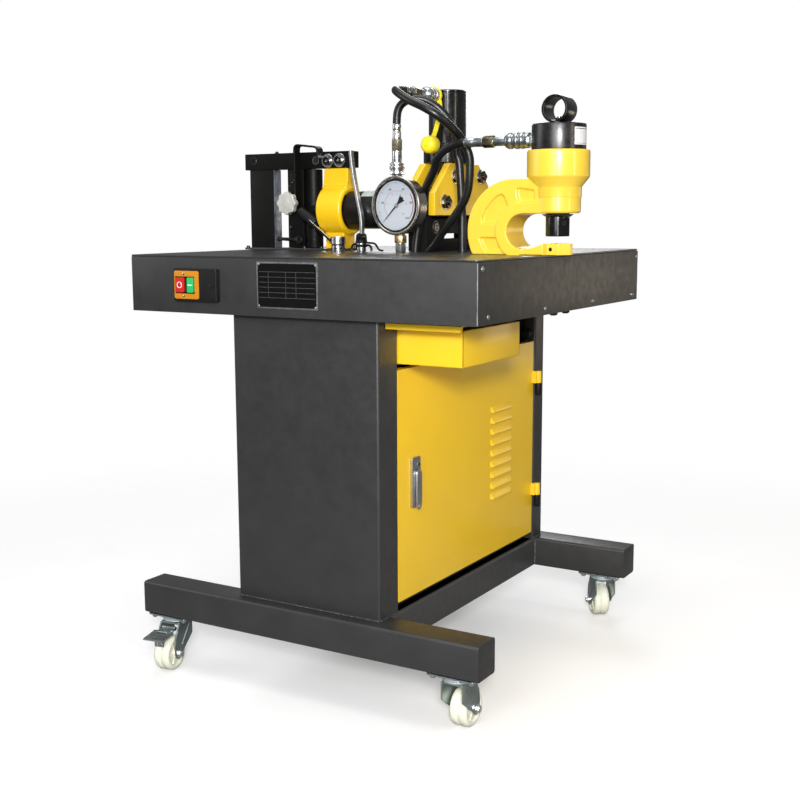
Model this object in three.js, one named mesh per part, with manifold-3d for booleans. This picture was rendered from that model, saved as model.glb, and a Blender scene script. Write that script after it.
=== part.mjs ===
// Hydraulic busbar processing machine: a wheeled cabinet with a work table that
// carries a bender (left), a cutter (middle) and a C-frame hole puncher (right).
// Millimetres, +Z up, floor at z = 0. The long table face with the switch looks
// along -Y, and the door and the chip drawer look along +X.
import * as THREE from "three";
import { mergeVertices } from "three/addons/utils/BufferGeometryUtils.js";
import Module from "manifold-3d";

const wasm = await Module();
wasm.setup();

// ---------------------------------------------------------------- dimensions
const ORIGIN_X = 25.5; // table-centred x of the part's origin (middle of its box)
const ORIGIN_Y = -14.25; // table-centred y of the part's origin
const GAP = 0.3; // clearance between touching pieces

const TABLE_TOP = 765; // height of the work surface
const TABLE_X = 700;
const TABLE_Y = 694;
const TABLE_THK = 3;
const APRON_H = 100;
const SHEET = 2.5;

const BEAM = 60; // square tube of the base
const BEAM_WALL = 3;
const BEAM_Z0 = 100; // overall height of a caster
const BEAM_Z1 = BEAM_Z0 + BEAM;
const BEAM_X0 = -345,
  BEAM_X1 = 355;
const BEAM_FRONT_Y = -349,
  BEAM_REAR_Y = 295; // lower y side of each beam

const CAB_X0 = -137,
  CAB_X1 = 159,
  CAB_Y0 = -326,
  CAB_Y1 = 325;
const POST_FRONT_Y = -264,
  POST_REAR_Y = 282;

const DOOR_Y0 = -262,
  DOOR_Y1 = 279,
  DOOR_Z0 = 176,
  DOOR_Z1 = 577,
  DOOR_X0 = 139,
  DOOR_X1 = 157;
const HINGE_X = 166,
  HINGE_Y = 285;
const HINGES = [
  [491, 516],
  [256, 281],
]; // z range of the knuckle welded to the door

const WHEEL_R = 32,
  WHEEL_W = 32,
  TRAIL = 28;

const PUNCH_X = 357,
  PUNCH_Y = -69,
  PUNCH_HALF = 33;
const CUT_X = 42,
  CUT_Y = 120;
const BEND_Y = 18,
  BEND_Z = 78; // bender ram axis above the table
const GAUGE_X = 30,
  GAUGE_Y = -40,
  GAUGE_Z = 85,
  GAUGE_R = 54;
const VALVE_X = -61,
  VALVE_Y = -30;
const HOSE_R = 7.5;

// ------------------------------------------------------------------- helpers
function solid(geometry) {
  const g = geometry.index ? geometry.toNonIndexed() : geometry.clone();
  const bare = new THREE.BufferGeometry().setAttribute(
    "position",
    g.getAttribute("position"),
  );
  const m = mergeVertices(bare, 1e-3);
  return new wasm.Manifold(
    new wasm.Mesh({
      numProp: 3,
      vertProperties: new Float32Array(m.attributes.position.array),
      triVerts: new Uint32Array(m.index.array),
    }),
  );
}
const join = (first, ...rest) => rest.reduce((a, b) => a.add(b), first);
const cut = (first, ...rest) => rest.reduce((a, b) => a.subtract(b), first);

function geometryOf(s) {
  const m = s.getMesh();
  const v = new Float32Array(m.numVert * 3);
  for (let i = 0; i < m.numVert; i++)
    v.set(m.vertProperties.subarray(i * m.numProp, i * m.numProp + 3), i * 3);
  const g = new THREE.BufferGeometry();
  g.setAttribute("position", new THREE.BufferAttribute(v, 3));
  g.setIndex(new THREE.BufferAttribute(new Uint32Array(m.triVerts), 1));
  const flat = g.toNonIndexed();
  flat.computeVertexNormals();
  return flat;
}
// block from its lowest to its highest corner
function box(x0, x1, y0, y1, z0, z1) {
  const g = new THREE.BoxGeometry(x1 - x0, y1 - y0, z1 - z0);
  g.translate((x0 + x1) / 2, (y0 + y1) / 2, (z0 + z1) / 2);
  return solid(g);
}
// turns a shape made about +Z so that its axis lies along X, Y or Z
function stand(g, axis) {
  if (axis === "x") g.rotateY(Math.PI / 2);
  if (axis === "y") g.rotateX(-Math.PI / 2);
  return g;
}
// round bar along an axis, from a to b, through the point (p, q) of the other two axes
function rod(axis, r, a, b, p, q, seg = 24) {
  const g = new THREE.CylinderGeometry(r, r, b - a, seg);
  g.rotateX(Math.PI / 2);
  g.translate(0, 0, (a + b) / 2);
  stand(g, axis);
  if (axis === "x") g.translate(0, p, q);
  if (axis === "y") g.translate(p, 0, q);
  if (axis === "z") g.translate(p, q, 0);
  return solid(g);
}
// turned piece: profile of [radius, height] pairs about an axis, first and last on the axis
function turned(axis, profile, p, q, seg = 28) {
  const g = new THREE.LatheGeometry(
    profile.map(([r, h]) => new THREE.Vector2(r, h)),
    seg,
  );
  g.rotateX(Math.PI / 2);
  stand(g, axis);
  if (axis === "x") g.translate(0, p, q);
  if (axis === "y") g.translate(p, 0, q);
  if (axis === "z") g.translate(p, q, 0);
  return solid(g);
}
// flat outline of [x, z] pairs in the XZ plane, thick along Y from y0 to y1
function slabXZ(points, y0, y1) {
  const s = new THREE.Shape(points.map(([x, z]) => new THREE.Vector2(x, z)));
  const g = new THREE.ExtrudeGeometry(s, {
    depth: y1 - y0,
    bevelEnabled: false,
    steps: 1,
  });
  g.rotateX(Math.PI / 2);
  g.translate(0, y1, 0);
  return solid(g);
}
// flat outline of [x, y] pairs in the XY plane, thick along Z from z0 to z1
function slabXY(points, z0, z1) {
  const s = new THREE.Shape(points.map(([x, y]) => new THREE.Vector2(x, y)));
  const g = new THREE.ExtrudeGeometry(s, {
    depth: z1 - z0,
    bevelEnabled: false,
    steps: 1,
  });
  g.translate(0, 0, z0);
  return solid(g);
}
// flat outline of [y, z] pairs in the YZ plane, thick along X from x0 to x1
function slabYZ(points, x0, x1) {
  const s = new THREE.Shape(points.map(([y, z]) => new THREE.Vector2(y, z)));
  const g = new THREE.ExtrudeGeometry(s, {
    depth: x1 - x0,
    bevelEnabled: false,
    steps: 1,
  });
  g.rotateX(Math.PI / 2);
  g.rotateZ(Math.PI / 2);
  g.translate(x0, 0, 0);
  return solid(g);
}
// arc as [u, v] pairs
function arc(cu, cv, r, deg0, deg1, n) {
  const out = [];
  for (let i = 0; i <= n; i++) {
    const t = ((deg0 + ((deg1 - deg0) * i) / n) * Math.PI) / 180;
    out.push([cu + r * Math.cos(t), cv + r * Math.sin(t)]);
  }
  return out;
}
// straight flat bar between two points, w wide along Y and t thick
function flatBar(a, b, w, t) {
  const va = new THREE.Vector3(...a),
    vb = new THREE.Vector3(...b);
  const g = new THREE.BoxGeometry(t, w, va.distanceTo(vb) + t);
  const m = new THREE.Matrix4();
  const dir = vb.clone().sub(va).normalize();
  const side = new THREE.Vector3(0, 1, 0);
  const n = new THREE.Vector3().crossVectors(side, dir).normalize();
  const s2 = new THREE.Vector3().crossVectors(dir, n).normalize();
  m.makeBasis(n, s2, dir);
  g.applyMatrix4(m);
  const c = va.clone().add(vb).multiplyScalar(0.5);
  g.translate(c.x, c.y, c.z);
  return solid(g);
}

const paint = {
  grey: { color: 0x3c3d3f, roughness: 0.45, metalness: 0.3 },
  greyLight: { color: 0x46484a, roughness: 0.4, metalness: 0.3 },
  yellow: { color: 0xf5cf22, roughness: 0.3, metalness: 0.0 },
  black: { color: 0x101011, roughness: 0.3, metalness: 0.4 },
  blackPlastic: { color: 0x121212, roughness: 0.5, metalness: 0.0 },
  zinc: { color: 0xb9c2c8, roughness: 0.3, metalness: 0.9 },
  steel: { color: 0xc4c6c8, roughness: 0.28, metalness: 1.0 },
  brass: { color: 0xc9a45a, roughness: 0.3, metalness: 1.0 },
  nylon: { color: 0xeeead2, roughness: 0.5, metalness: 0.0 },
  rubber: { color: 0x131314, roughness: 0.6, metalness: 0.0 },
  red: { color: 0xc8202a, roughness: 0.4, metalness: 0.0 },
  green: { color: 0x1f9a4e, roughness: 0.4, metalness: 0.0 },
};
const machine = new THREE.Group();
machine.position.set(-ORIGIN_X, -ORIGIN_Y, 0);

function piece(name, s, look, parent = machine) {
  const mesh = new THREE.Mesh(
    geometryOf(s),
    new THREE.MeshStandardMaterial(paint[look]),
  );
  mesh.name = name;
  parent.add(mesh);
  return mesh;
}

// ---------------------------------------------------------------- base frame
// Two beams along X, two rails along Y and a floor sheet, welded together. The
// tubes are hollow, each with a drain hole in its underside.
{
  const tube = (x0, x1, y0, y1) => box(x0, x1, y0, y1, BEAM_Z0, BEAM_Z1);
  const inside = (x0, x1, y0, y1) =>
    box(
      x0 + BEAM_WALL,
      x1 - BEAM_WALL,
      y0 + BEAM_WALL,
      y1 - BEAM_WALL,
      BEAM_Z0 + BEAM_WALL,
      BEAM_Z1 - BEAM_WALL,
    );
  const f = BEAM_FRONT_Y,
    r = BEAM_REAR_Y;
  const railX = [
    [CAB_X0, CAB_X0 + 50],
    [CAB_X1 - 50, CAB_X1],
  ];
  let base = join(
    tube(BEAM_X0, BEAM_X1, f, f + BEAM),
    tube(BEAM_X0, BEAM_X1, r, r + BEAM),
    tube(railX[0][0], railX[0][1], f + BEAM - 1, r + 1),
    tube(railX[1][0], railX[1][1], f + BEAM - 1, r + 1),
    box(CAB_X0, CAB_X1, f + BEAM - 1, r + 1, BEAM_Z1 - BEAM_WALL, BEAM_Z1),
  );
  base = cut(
    base,
    inside(BEAM_X0, BEAM_X1, f, f + BEAM),
    inside(BEAM_X0, BEAM_X1, r, r + BEAM),
    inside(railX[0][0], railX[0][1], f + BEAM, r),
    inside(railX[1][0], railX[1][1], f + BEAM, r),
    rod("z", 6, BEAM_Z0 - 1, BEAM_Z0 + 5, 0, f + BEAM / 2, 12),
    rod("z", 6, BEAM_Z0 - 1, BEAM_Z0 + 5, 0, r + BEAM / 2, 12),
    rod("z", 6, BEAM_Z0 - 1, BEAM_Z0 + 5, railX[0][0] + 25, 0, 12),
    rod("z", 6, BEAM_Z0 - 1, BEAM_Z0 + 5, railX[1][0] + 25, 0, 12),
  );
  piece("base_frame", base, "grey");
}

// ------------------------------------------------------------------- cabinet
{
  const z0 = BEAM_Z1 + GAP,
    z1 = TABLE_TOP - TABLE_THK - GAP;
  // folded sheets: face, two returns and the door jamb
  piece(
    "cabinet_front_panel",
    join(
      box(CAB_X0, CAB_X1, CAB_Y0, CAB_Y0 + SHEET, z0, z1),
      box(CAB_X1 - SHEET, CAB_X1, CAB_Y0, POST_FRONT_Y, z0, z1),
      box(CAB_X1 - 24, CAB_X1, POST_FRONT_Y - SHEET, POST_FRONT_Y, z0, z1),
      box(CAB_X0, CAB_X0 + SHEET, CAB_Y0, POST_FRONT_Y, z0, z1),
      // shelf that carries the chip drawer
      box(CAB_X0 + 7, CAB_X1 - 9, CAB_Y0 + 1, -45, 585, 588),
    ),
    "greyLight",
  );
  piece(
    "cabinet_rear_panel",
    join(
      box(CAB_X0, CAB_X1, CAB_Y1 - SHEET, CAB_Y1, z0, z1),
      box(CAB_X1 - SHEET, CAB_X1, POST_REAR_Y, CAB_Y1, z0, z1),
      box(CAB_X1 - 24, CAB_X1, POST_REAR_Y, POST_REAR_Y + SHEET, z0, z1),
      box(CAB_X0, CAB_X0 + SHEET, POST_REAR_Y - 19, CAB_Y1, z0, z1),
      // lower halves of the lift-off hinges with their pins
      ...HINGES.flatMap(([a]) => [
        rod("z", 6, a - 25, a - GAP, HINGE_X, HINGE_Y + 0.5, 16),
        rod("z", 3.2, a - 6, a + 17, HINGE_X, HINGE_Y, 12),
        box(CAB_X1 - 1, HINGE_X, HINGE_Y + 1.5, HINGE_Y + 6, a - 25, a - GAP),
      ]),
    ),
    "grey",
  );
  piece(
    "cabinet_left_panel",
    box(
      CAB_X0 + SHEET + GAP,
      CAB_X0 + 2 * SHEET + GAP,
      CAB_Y0 + SHEET + GAP,
      CAB_Y1 - SHEET - GAP,
      z0,
      z1,
    ),
    "grey",
  );
}

// ------------------------------------------------- door, hinges and its lock
{
  const skin = 2;
  const lockY = -204.5,
    lockZ = 392;
  let door = cut(
    box(DOOR_X0, DOOR_X1, DOOR_Y0, DOOR_Y1, DOOR_Z0, DOOR_Z1),
    box(
      DOOR_X0 - 1,
      DOOR_X1 - skin,
      DOOR_Y0 + skin,
      DOOR_Y1 - skin,
      DOOR_Z0 + skin,
      DOOR_Z1 - skin,
    ),
    rod("x", 5, DOOR_X1 - 8, DOOR_X1 + 4, lockY, lockZ, 16),
  );
  // nine pressed louvers
  for (let i = 0; i < 9; i++) {
    const z = 455.5 - i * 21.4;
    door = door.add(
      slabXZ(
        [
          [DOOR_X1 - 1, z],
          [DOOR_X1 + 5, z],
          [DOOR_X1 + 4.5, z + 3],
          [DOOR_X1 - 1, z + 13],
        ],
        85,
        177,
      ),
    );
  }
  for (const [a, b] of HINGES) {
    door = join(
      door,
      rod("z", 6.4, a, b, HINGE_X, HINGE_Y, 16),
      box(DOOR_X1 - 1, HINGE_X, DOOR_Y1 - 14, DOOR_Y1 - 0.5, a, b),
      box(HINGE_X - 5, HINGE_X, DOOR_Y1 - 6, HINGE_Y - 2, a, b),
    );
    door = door.subtract(rod("z", 3.6, a - 1, b - 4, HINGE_X, HINGE_Y, 16));
  }
  piece("door_panel", door, "yellow");
  piece(
    "lock_plate",
    cut(
      box(DOOR_X1 + GAP, DOOR_X1 + 5, -219, -190, 325, 425),
      rod("x", 5, DOOR_X1 - 2, DOOR_X1 + 8, lockY, lockZ, 16),
    ),
    "steel",
  );
  piece(
    "lock_handle",
    join(
      box(DOOR_X1 + 5.3, DOOR_X1 + 14, -212, -197, 321, 392),
      rod("x", 7.5, DOOR_X1 + 5.3, DOOR_X1 + 14, lockY, lockZ, 20),
      rod("x", 4.4, DOOR_X0 - 8, DOOR_X1 + 8, lockY, lockZ, 16),
      box(DOOR_X0 - 8, DOOR_X0 - 4, -213, -196, 386, 449),
    ),
    "steel",
  );
}

// --------------------------------------------------------------- chip drawer
{
  const x0 = -60,
    x1 = 280,
    y0 = -261.5,
    y1 = -50,
    z0 = 588 + GAP,
    z1 = 648,
    t = 2;
  piece(
    "drawer_tray",
    join(
      cut(
        box(x0, x1, y0, y1, z0, z1),
        box(x0 + t, x1 - t, y0 + t, y1 - t, z0 + t, z1 + 1),
      ),
      // hanging flange with a turned-down edge, outside the front post
      box(CAB_X1 + 1, x1 - t, y0 - 1, y0 + 1, z1 - 4, 660),
      box(CAB_X1 + 1, 299, -305, y0 + 1, 658, 660),
      box(CAB_X1 + 1, 299, -305, -303, 650, 660),
    ),
    "yellow",
  );
}

// --------------------------------------------------------------------- table
const hoseHoles = [
  [130, 17],
  [44, -8],
];
const slantHole = [
  [67, -9.5],
  [76, -10.8],
]; // ends of the long hole of the hose that comes in at a slant
{
  const hx = TABLE_X / 2,
    hy = TABLE_Y / 2;
  const chamfer = 6;
  const outline = (h) =>
    new THREE.Shape(
      [
        [-hx + chamfer, -hy],
        [hx - chamfer, -hy],
        [hx, -hy + chamfer],
        [hx, hy - chamfer],
        [hx - chamfer, hy],
        [-hx + chamfer, hy],
        [-hx, hy - chamfer],
        [-hx, -hy + chamfer],
      ].map(([x, y]) => new THREE.Vector2(x, y)),
    );
  const plate = new THREE.ExtrudeGeometry(outline(), {
    depth: TABLE_THK,
    bevelEnabled: false,
  });
  plate.translate(0, 0, TABLE_TOP - TABLE_THK);
  piece(
    "table_top",
    cut(
      solid(plate),
      ...hoseHoles.map(([x, y]) =>
        rod("z", HOSE_R + 2.3, TABLE_TOP - 8, TABLE_TOP + 5, x, y, 20),
      ),
      ...slantHole.map(([x, y]) =>
        rod("z", HOSE_R + 2.3, TABLE_TOP - 8, TABLE_TOP + 5, x, y, 20),
      ),
      box(
        slantHole[0][0],
        slantHole[1][0],
        -19.5,
        -0.8,
        TABLE_TOP - 8,
        TABLE_TOP + 5,
      ),
    ),
    "grey",
  );
  const z0 = TABLE_TOP - APRON_H,
    z1 = TABLE_TOP - TABLE_THK - GAP;
  piece(
    "table_apron",
    cut(
      box(-hx, hx - SHEET - GAP, -hy, hy, z0, z1),
      box(-hx + SHEET, hx + 5, -hy + SHEET, hy - SHEET, z0 - 1, z1 + 1),
    ),
    "grey",
  );
  piece(
    "apron_side_cover",
    join(
      box(hx - SHEET, hx, -hy, hy, z0, z1),
      box(hx - 20, hx - 1, -hy + 10, hy - 10, z0, z0 + SHEET),
    ),
    "grey",
  );
}

// -------------------------------------------------------- switch, nameplate
{
  const face = -TABLE_Y / 2 - GAP;
  const x0 = -241,
    x1 = -145.5,
    z0 = 686.5,
    z1 = 743,
    d = 11;
  const bx = [
    [-235.2, -216.2],
    [-209.5, -195.5],
  ];
  piece(
    "switch_box",
    cut(
      box(x0, x1, face - d, face, z0, z1),
      box(-235.8, -191.8, face - d - 1, face - d + 8, 699.7, 729.2),
    ),
    "blackPlastic",
  );
  const button = ([a, b]) =>
    box(a, b, face - d - 3.5, face - d + 4.5, 701.4, 727.6);
  piece("stop_button", button(bx[0]), "red");
  piece("start_button", button(bx[1]), "green");
  piece("nameplate", box(-66, 58, face - 1.2, face, 679, 757), "steel");
}

// ------------------------------------------------------------------- casters
// Each caster is built with its wheel trailing along +X, then turned in place.
function caster(tag, x, y, trailDeg, pedal) {
  const g = new THREE.Group();
  g.position.set(x, y, 0);
  machine.add(g);
  const top = BEAM_Z0 - GAP;
  // the mounting plate keeps the beam's direction
  piece(
    "caster_plate_" + tag,
    join(
      box(-44, 44, -29, 29, top - 3, top),
      rod("z", 25, top - 8, top - 2, 0, 0, 24),
    ),
    "zinc",
    g,
  );
  const f = new THREE.Group();
  f.rotation.z = THREE.MathUtils.degToRad(trailDeg);
  g.add(f);
  const legOut = WHEEL_W / 2 + 5,
    legIn = WHEEL_W / 2 + 2;
  const leg = [
    [-20, 87],
    [24, 87],
    [38, 60],
    [40, 34],
    ...arc(TRAIL, WHEEL_R, 11, 0, -130, 5),
    [-20, 57],
  ];
  piece(
    "caster_fork_" + tag,
    join(
      rod("z", 20, top - 13, top - 8 - GAP, 0, 0, 24),
      box(-20, 24, -legOut, legOut, top - 16, top - 12),
      slabXZ(leg, legIn, legOut),
      slabXZ(leg, -legOut, -legIn),
      rod("y", 4, -legOut - 5, legOut + 5, TRAIL, WHEEL_R, 12),
      rod("y", 6.5, legOut - 1, legOut + 5, TRAIL, WHEEL_R, 6),
      rod("y", 6.5, -legOut - 5, -legOut + 1, TRAIL, WHEEL_R, 6),
    ),
    "zinc",
    f,
  );
  const w = WHEEL_W / 2;
  const profile = [
    [4.5, -w - 1],
    [10, -w - 1],
    [28, -w],
    [WHEEL_R, -w + 5],
    [WHEEL_R, w - 5],
    [28, w],
    [10, w + 1],
    [4.5, w + 1],
    [4.5, -w - 1],
  ];
  const wg = new THREE.LatheGeometry(
    profile.map(([r, h]) => new THREE.Vector2(r, h)),
    20,
  );
  wg.translate(TRAIL, 0, WHEEL_R);
  piece("caster_wheel_" + tag, solid(wg), "nylon", f);
  if (pedal) {
    // stamped foot pedal with its tooth block, pivoted over the wheel
    piece(
      "brake_pedal_" + tag,
      join(
        slabXZ(
          [
            [22, 75.5],
            [55, 73],
            [55, 76],
            [22, 78.5],
          ],
          -13.7,
          13.7,
        ),
        slabXZ(
          [
            [44, 73.8],
            [58, 72.6],
            [84, 70],
            [84, 73],
            [58, 75.6],
            [44, 76.8],
          ],
          -20,
          20,
        ),
        rod("y", 4, -13.7, 13.7, 26, 77, 12),
        box(46, 54, -9, 9, 62, 75),
      ),
      "zinc",
      f,
    );
  }
}
caster("front_left", -294, -319, 279, true);
caster("front_right", 303, -319, 90, false);
caster("rear_right", 300, 325, 128, false);
caster("rear_left", -299, 325, 200, false);

// ---------------------------------------------------------------- power pack
{
  const z = BEAM_Z1 + GAP;
  piece(
    "oil_tank",
    cut(
      box(-105, 115, -70, 262, z, 372),
      box(-102, 112, -67, 259, z - 1, 369),
    ),
    "grey",
  );
  piece(
    "pump_motor",
    turned(
      "z",
      [
        [0, 372 + GAP],
        [80, 372 + GAP],
        [80, 384],
        [66, 384],
        [66, 560],
        [60, 572],
        [58, 612],
        [50, 618],
        [0, 618],
      ],
      30,
      180,
      22,
    ),
    "black",
  );
}

// ------------------------------------------------------------------- puncher
{
  const g = new THREE.Group();
  g.position.set(PUNCH_X, PUNCH_Y, TABLE_TOP);
  machine.add(g);
  const h = PUNCH_HALF;
  // arch with its throat, seen from the side
  const arch = [
    [-12, GAP],
    [-12, 19.3],
    [-24, 15],
    [-36, 11.8],
    ...arc(-50, 40, 29.3, 270, 90, 12),
    [0, 69.3],
    [0, 112],
    [-40, 128],
    [-54, 127.4],
    ...arc(-67, 40, 87.5, 92, 207, 14),
  ];
  // narrower lower jaw with a chamfered nose, seen from above
  const jaw = [
    [-14, -h],
    [-12, -h],
    [-9, -21],
    [10.6, -21],
    [26, -5],
    [26, 5],
    [10.6, 21],
    [-9, 21],
    [-12, h],
    [-14, h],
  ];
  // shallow pockets between the arch's ribs, on both sides
  const pockets = [
    [
      [-90, 102.7],
      [-85.2, 98.3],
      [-77.1, 79.8],
      [-84.9, 72.2],
      [-91.6, 63.5],
      [-96, 53.7],
      [-126.8, 53.1],
      [-126.2, 63.6],
      [-120.7, 76.8],
      [-109.7, 89.8],
      [-99.9, 98.4],
    ],
    [
      [-131, 28.8],
      [-98, 29],
      [-94.2, 20.7],
      [-89.2, 12],
      [-83, 5],
      [-119, 5],
      [-126.5, 17.2],
    ],
    [
      [-61.7, 112],
      [-36, 109],
      [-36, 88],
      [-42.8, 88.1],
      [-56, 87],
      [-60.9, 98],
    ],
  ];
  let frame = join(
    slabXZ(arch, -h, h),
    slabXY(jaw, GAP, 19.3),
    turned(
      "z",
      [
        [0, 69.3],
        [35, 69.3],
        [37.6, 72],
        [37.6, 96],
        [38.5, 97],
        [38.5, 113],
        [52.6, 129],
        [52.6, 173],
        [51, 174],
        [0, 174],
      ],
      0,
      0,
      36,
    ),
  );
  // ram bore, and the die seat in the jaw with its slug hole
  frame = cut(
    frame,
    rod("z", 20.5, 60, 96, 0, 0, 28),
    rod("z", 12.4, 8, 30, 0, 0, 24),
    rod("z", 8, -2, 12, 0, 0, 20),
    ...pockets.map((o) => slabXZ(o, -h - 5, -h + 5)),
    ...pockets.map((o) => slabXZ(o, h - 5, h + 5)),
  );
  piece("punch_frame", frame, "yellow", g);
  piece(
    "punch_ram",
    cut(
      join(
        rod("z", 20, 31.2, 92, 0, 0, 28),
        turned(
          "z",
          [
            [0, 63.8],
            [21, 63.8],
            [27, 68.4],
            [0, 68.4],
          ],
          0,
          0,
          28,
        ),
      ),
      box(16.4, 30, -30, 30, 30, 62).rotate([0, 0, -25]),
    ),
    "black",
    g,
  );
  piece(
    "punch_die",
    cut(
      rod("z", 12.1, 8.3, 19.6, 0, 0, 24),
      rod("z", 5.5, 0, 30, 0, 0, 16),
    ),
    "steel",
    g,
  );
  piece(
    "punch_cylinder",
    turned(
      "z",
      [
        [0, 174.3],
        [45.5, 174.3],
        [45.5, 215],
        [43.5, 217],
        [0, 217],
      ],
      0,
      0,
      36,
    ),
    "black",
    g,
  );
  piece(
    "carry_ring",
    cut(
      rod("y", 23, -22, 22, 0, 240.4, 28),
      rod("y", 19.4, -24, 24, 0, 240.4, 28),
    ),
    "black",
    g,
  );
  // quick coupler on the head, hose side towards -X
  piece(
    "punch_coupler",
    turned(
      "x",
      [
        [0, -177],
        [8.5, -177],
        [8.5, -143],
        [10.5, -142],
        [10.5, -122],
        [7.5, -121],
        [7.5, -101],
        [14, -98],
        [14, -55],
        [9, -54],
        [9, -45.9],
        [0, -45.9],
      ],
      0,
      192,
      20,
    ),
    "zinc",
    g,
  );
}

// -------------------------------------------------------------------- cutter
{
  const g = new THREE.Group();
  g.position.set(CUT_X, CUT_Y, TABLE_TOP);
  machine.add(g);
  const hw = 19.5; // half width of the black core along X
  // core: base bar, two columns and the bridge over the busbar slot, with the
  // blade's guide cut down through the bridge
  piece(
    "cutter_frame",
    cut(
      join(box(-hw, hw, -117, 115, GAP, 66), box(-hw, hw, -100, 100, 60, 120)),
      box(-hw - 1, hw + 1, -47, 45, 22, 34),
      box(-7, 7, -42, 40, 30, 125),
      rod("z", 10.5, 76, 125, 0, 0, 20),
    ),
    "black",
    g,
  );
  const plate = (x0, x1) =>
    slabYZ(
      [
        [-109, 67],
        [111, 67],
        [111, 125],
        [68, 165],
        [-49, 165],
        [-109, 108],
      ],
      x0,
      x1,
    );
  const bolts = [
    [-30, 140],
    [73, 142],
    [-72, 92],
    [88, 92],
  ]; // y, z of the four clamping bolts
  const bolted = (x0, x1, out) =>
    bolts.reduce(
      (s, [y, z]) =>
        s.add(
          rod(
            "x",
            12,
            out > 0 ? x1 - 1 : x0 - 6.5,
            out > 0 ? x1 + 15 : x0 + 1,
            y,
            z,
            6,
          ),
        ),
      plate(x0, x1),
    );
  piece("cutter_plate_right", bolted(hw + GAP, hw + 14, 1), "yellow", g);
  piece("cutter_plate_left", bolted(-hw - 14, -hw - GAP, -1), "yellow", g);
  piece(
    "cutter_cylinder",
    cut(
      join(
        turned(
          "z",
          [
            [0, 120 + GAP],
            [19, 120 + GAP],
            [19, 165 + GAP],
            [46, 165 + GAP],
            [46, 200],
            [36, 202],
            [36, 301],
            [34, 303],
            [0, 303],
          ],
          0,
          0,
          26,
        ),
        rod("y", 9, -42, -20, 2, 290, 16),
      ),
      rod("z", 10.4, 100, 160, 0, 0, 20),
    ),
    "black",
    g,
  );
  piece(
    "cutter_blade",
    join(
      slabYZ(
        [
          [-41, 36],
          [39, 46],
          [39, 100],
          [-41, 100],
        ],
        -6,
        6,
      ),
      rod("z", 10, 95, 150, 0, 0, 20),
    ),
    "steel",
    g,
  );
  // quick coupler of the upper port, hose side towards -Y
  piece(
    "cutter_coupler",
    turned(
      "y",
      [
        [0, -167],
        [8.5, -167],
        [8.5, -130],
        [10.5, -129],
        [10.5, -110],
        [7.5, -109],
        [7.5, -89],
        [14, -86],
        [14, -42 - GAP],
        [0, -42 - GAP],
      ],
      2,
      290,
      20,
    ),
    "zinc",
    g,
  );
  // round dust cap hanging from the coupler on a bent strap
  piece(
    "cutter_dust_cap",
    join(
      cut(
        rod("y", 16.6, -60, -54, 2, 290, 20),
        rod("y", 14.6, -62, -52, 2, 290, 20),
      ),
      slabYZ(
        [
          [-59.5, 212],
          [-54.5, 212],
          [-51.5, 240],
          [-54.5, 275],
          [-59.5, 275],
          [-56, 240],
        ],
        1,
        11,
      ),
      turned(
        "y",
        [
          [0, -84],
          [8, -82],
          [13.5, -77],
          [16.5, -70],
          [16.5, -58],
          [13, -54],
          [0, -54],
        ],
        0,
        199,
        20,
      ),
    ),
    "yellow",
    g,
  );
}

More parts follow.
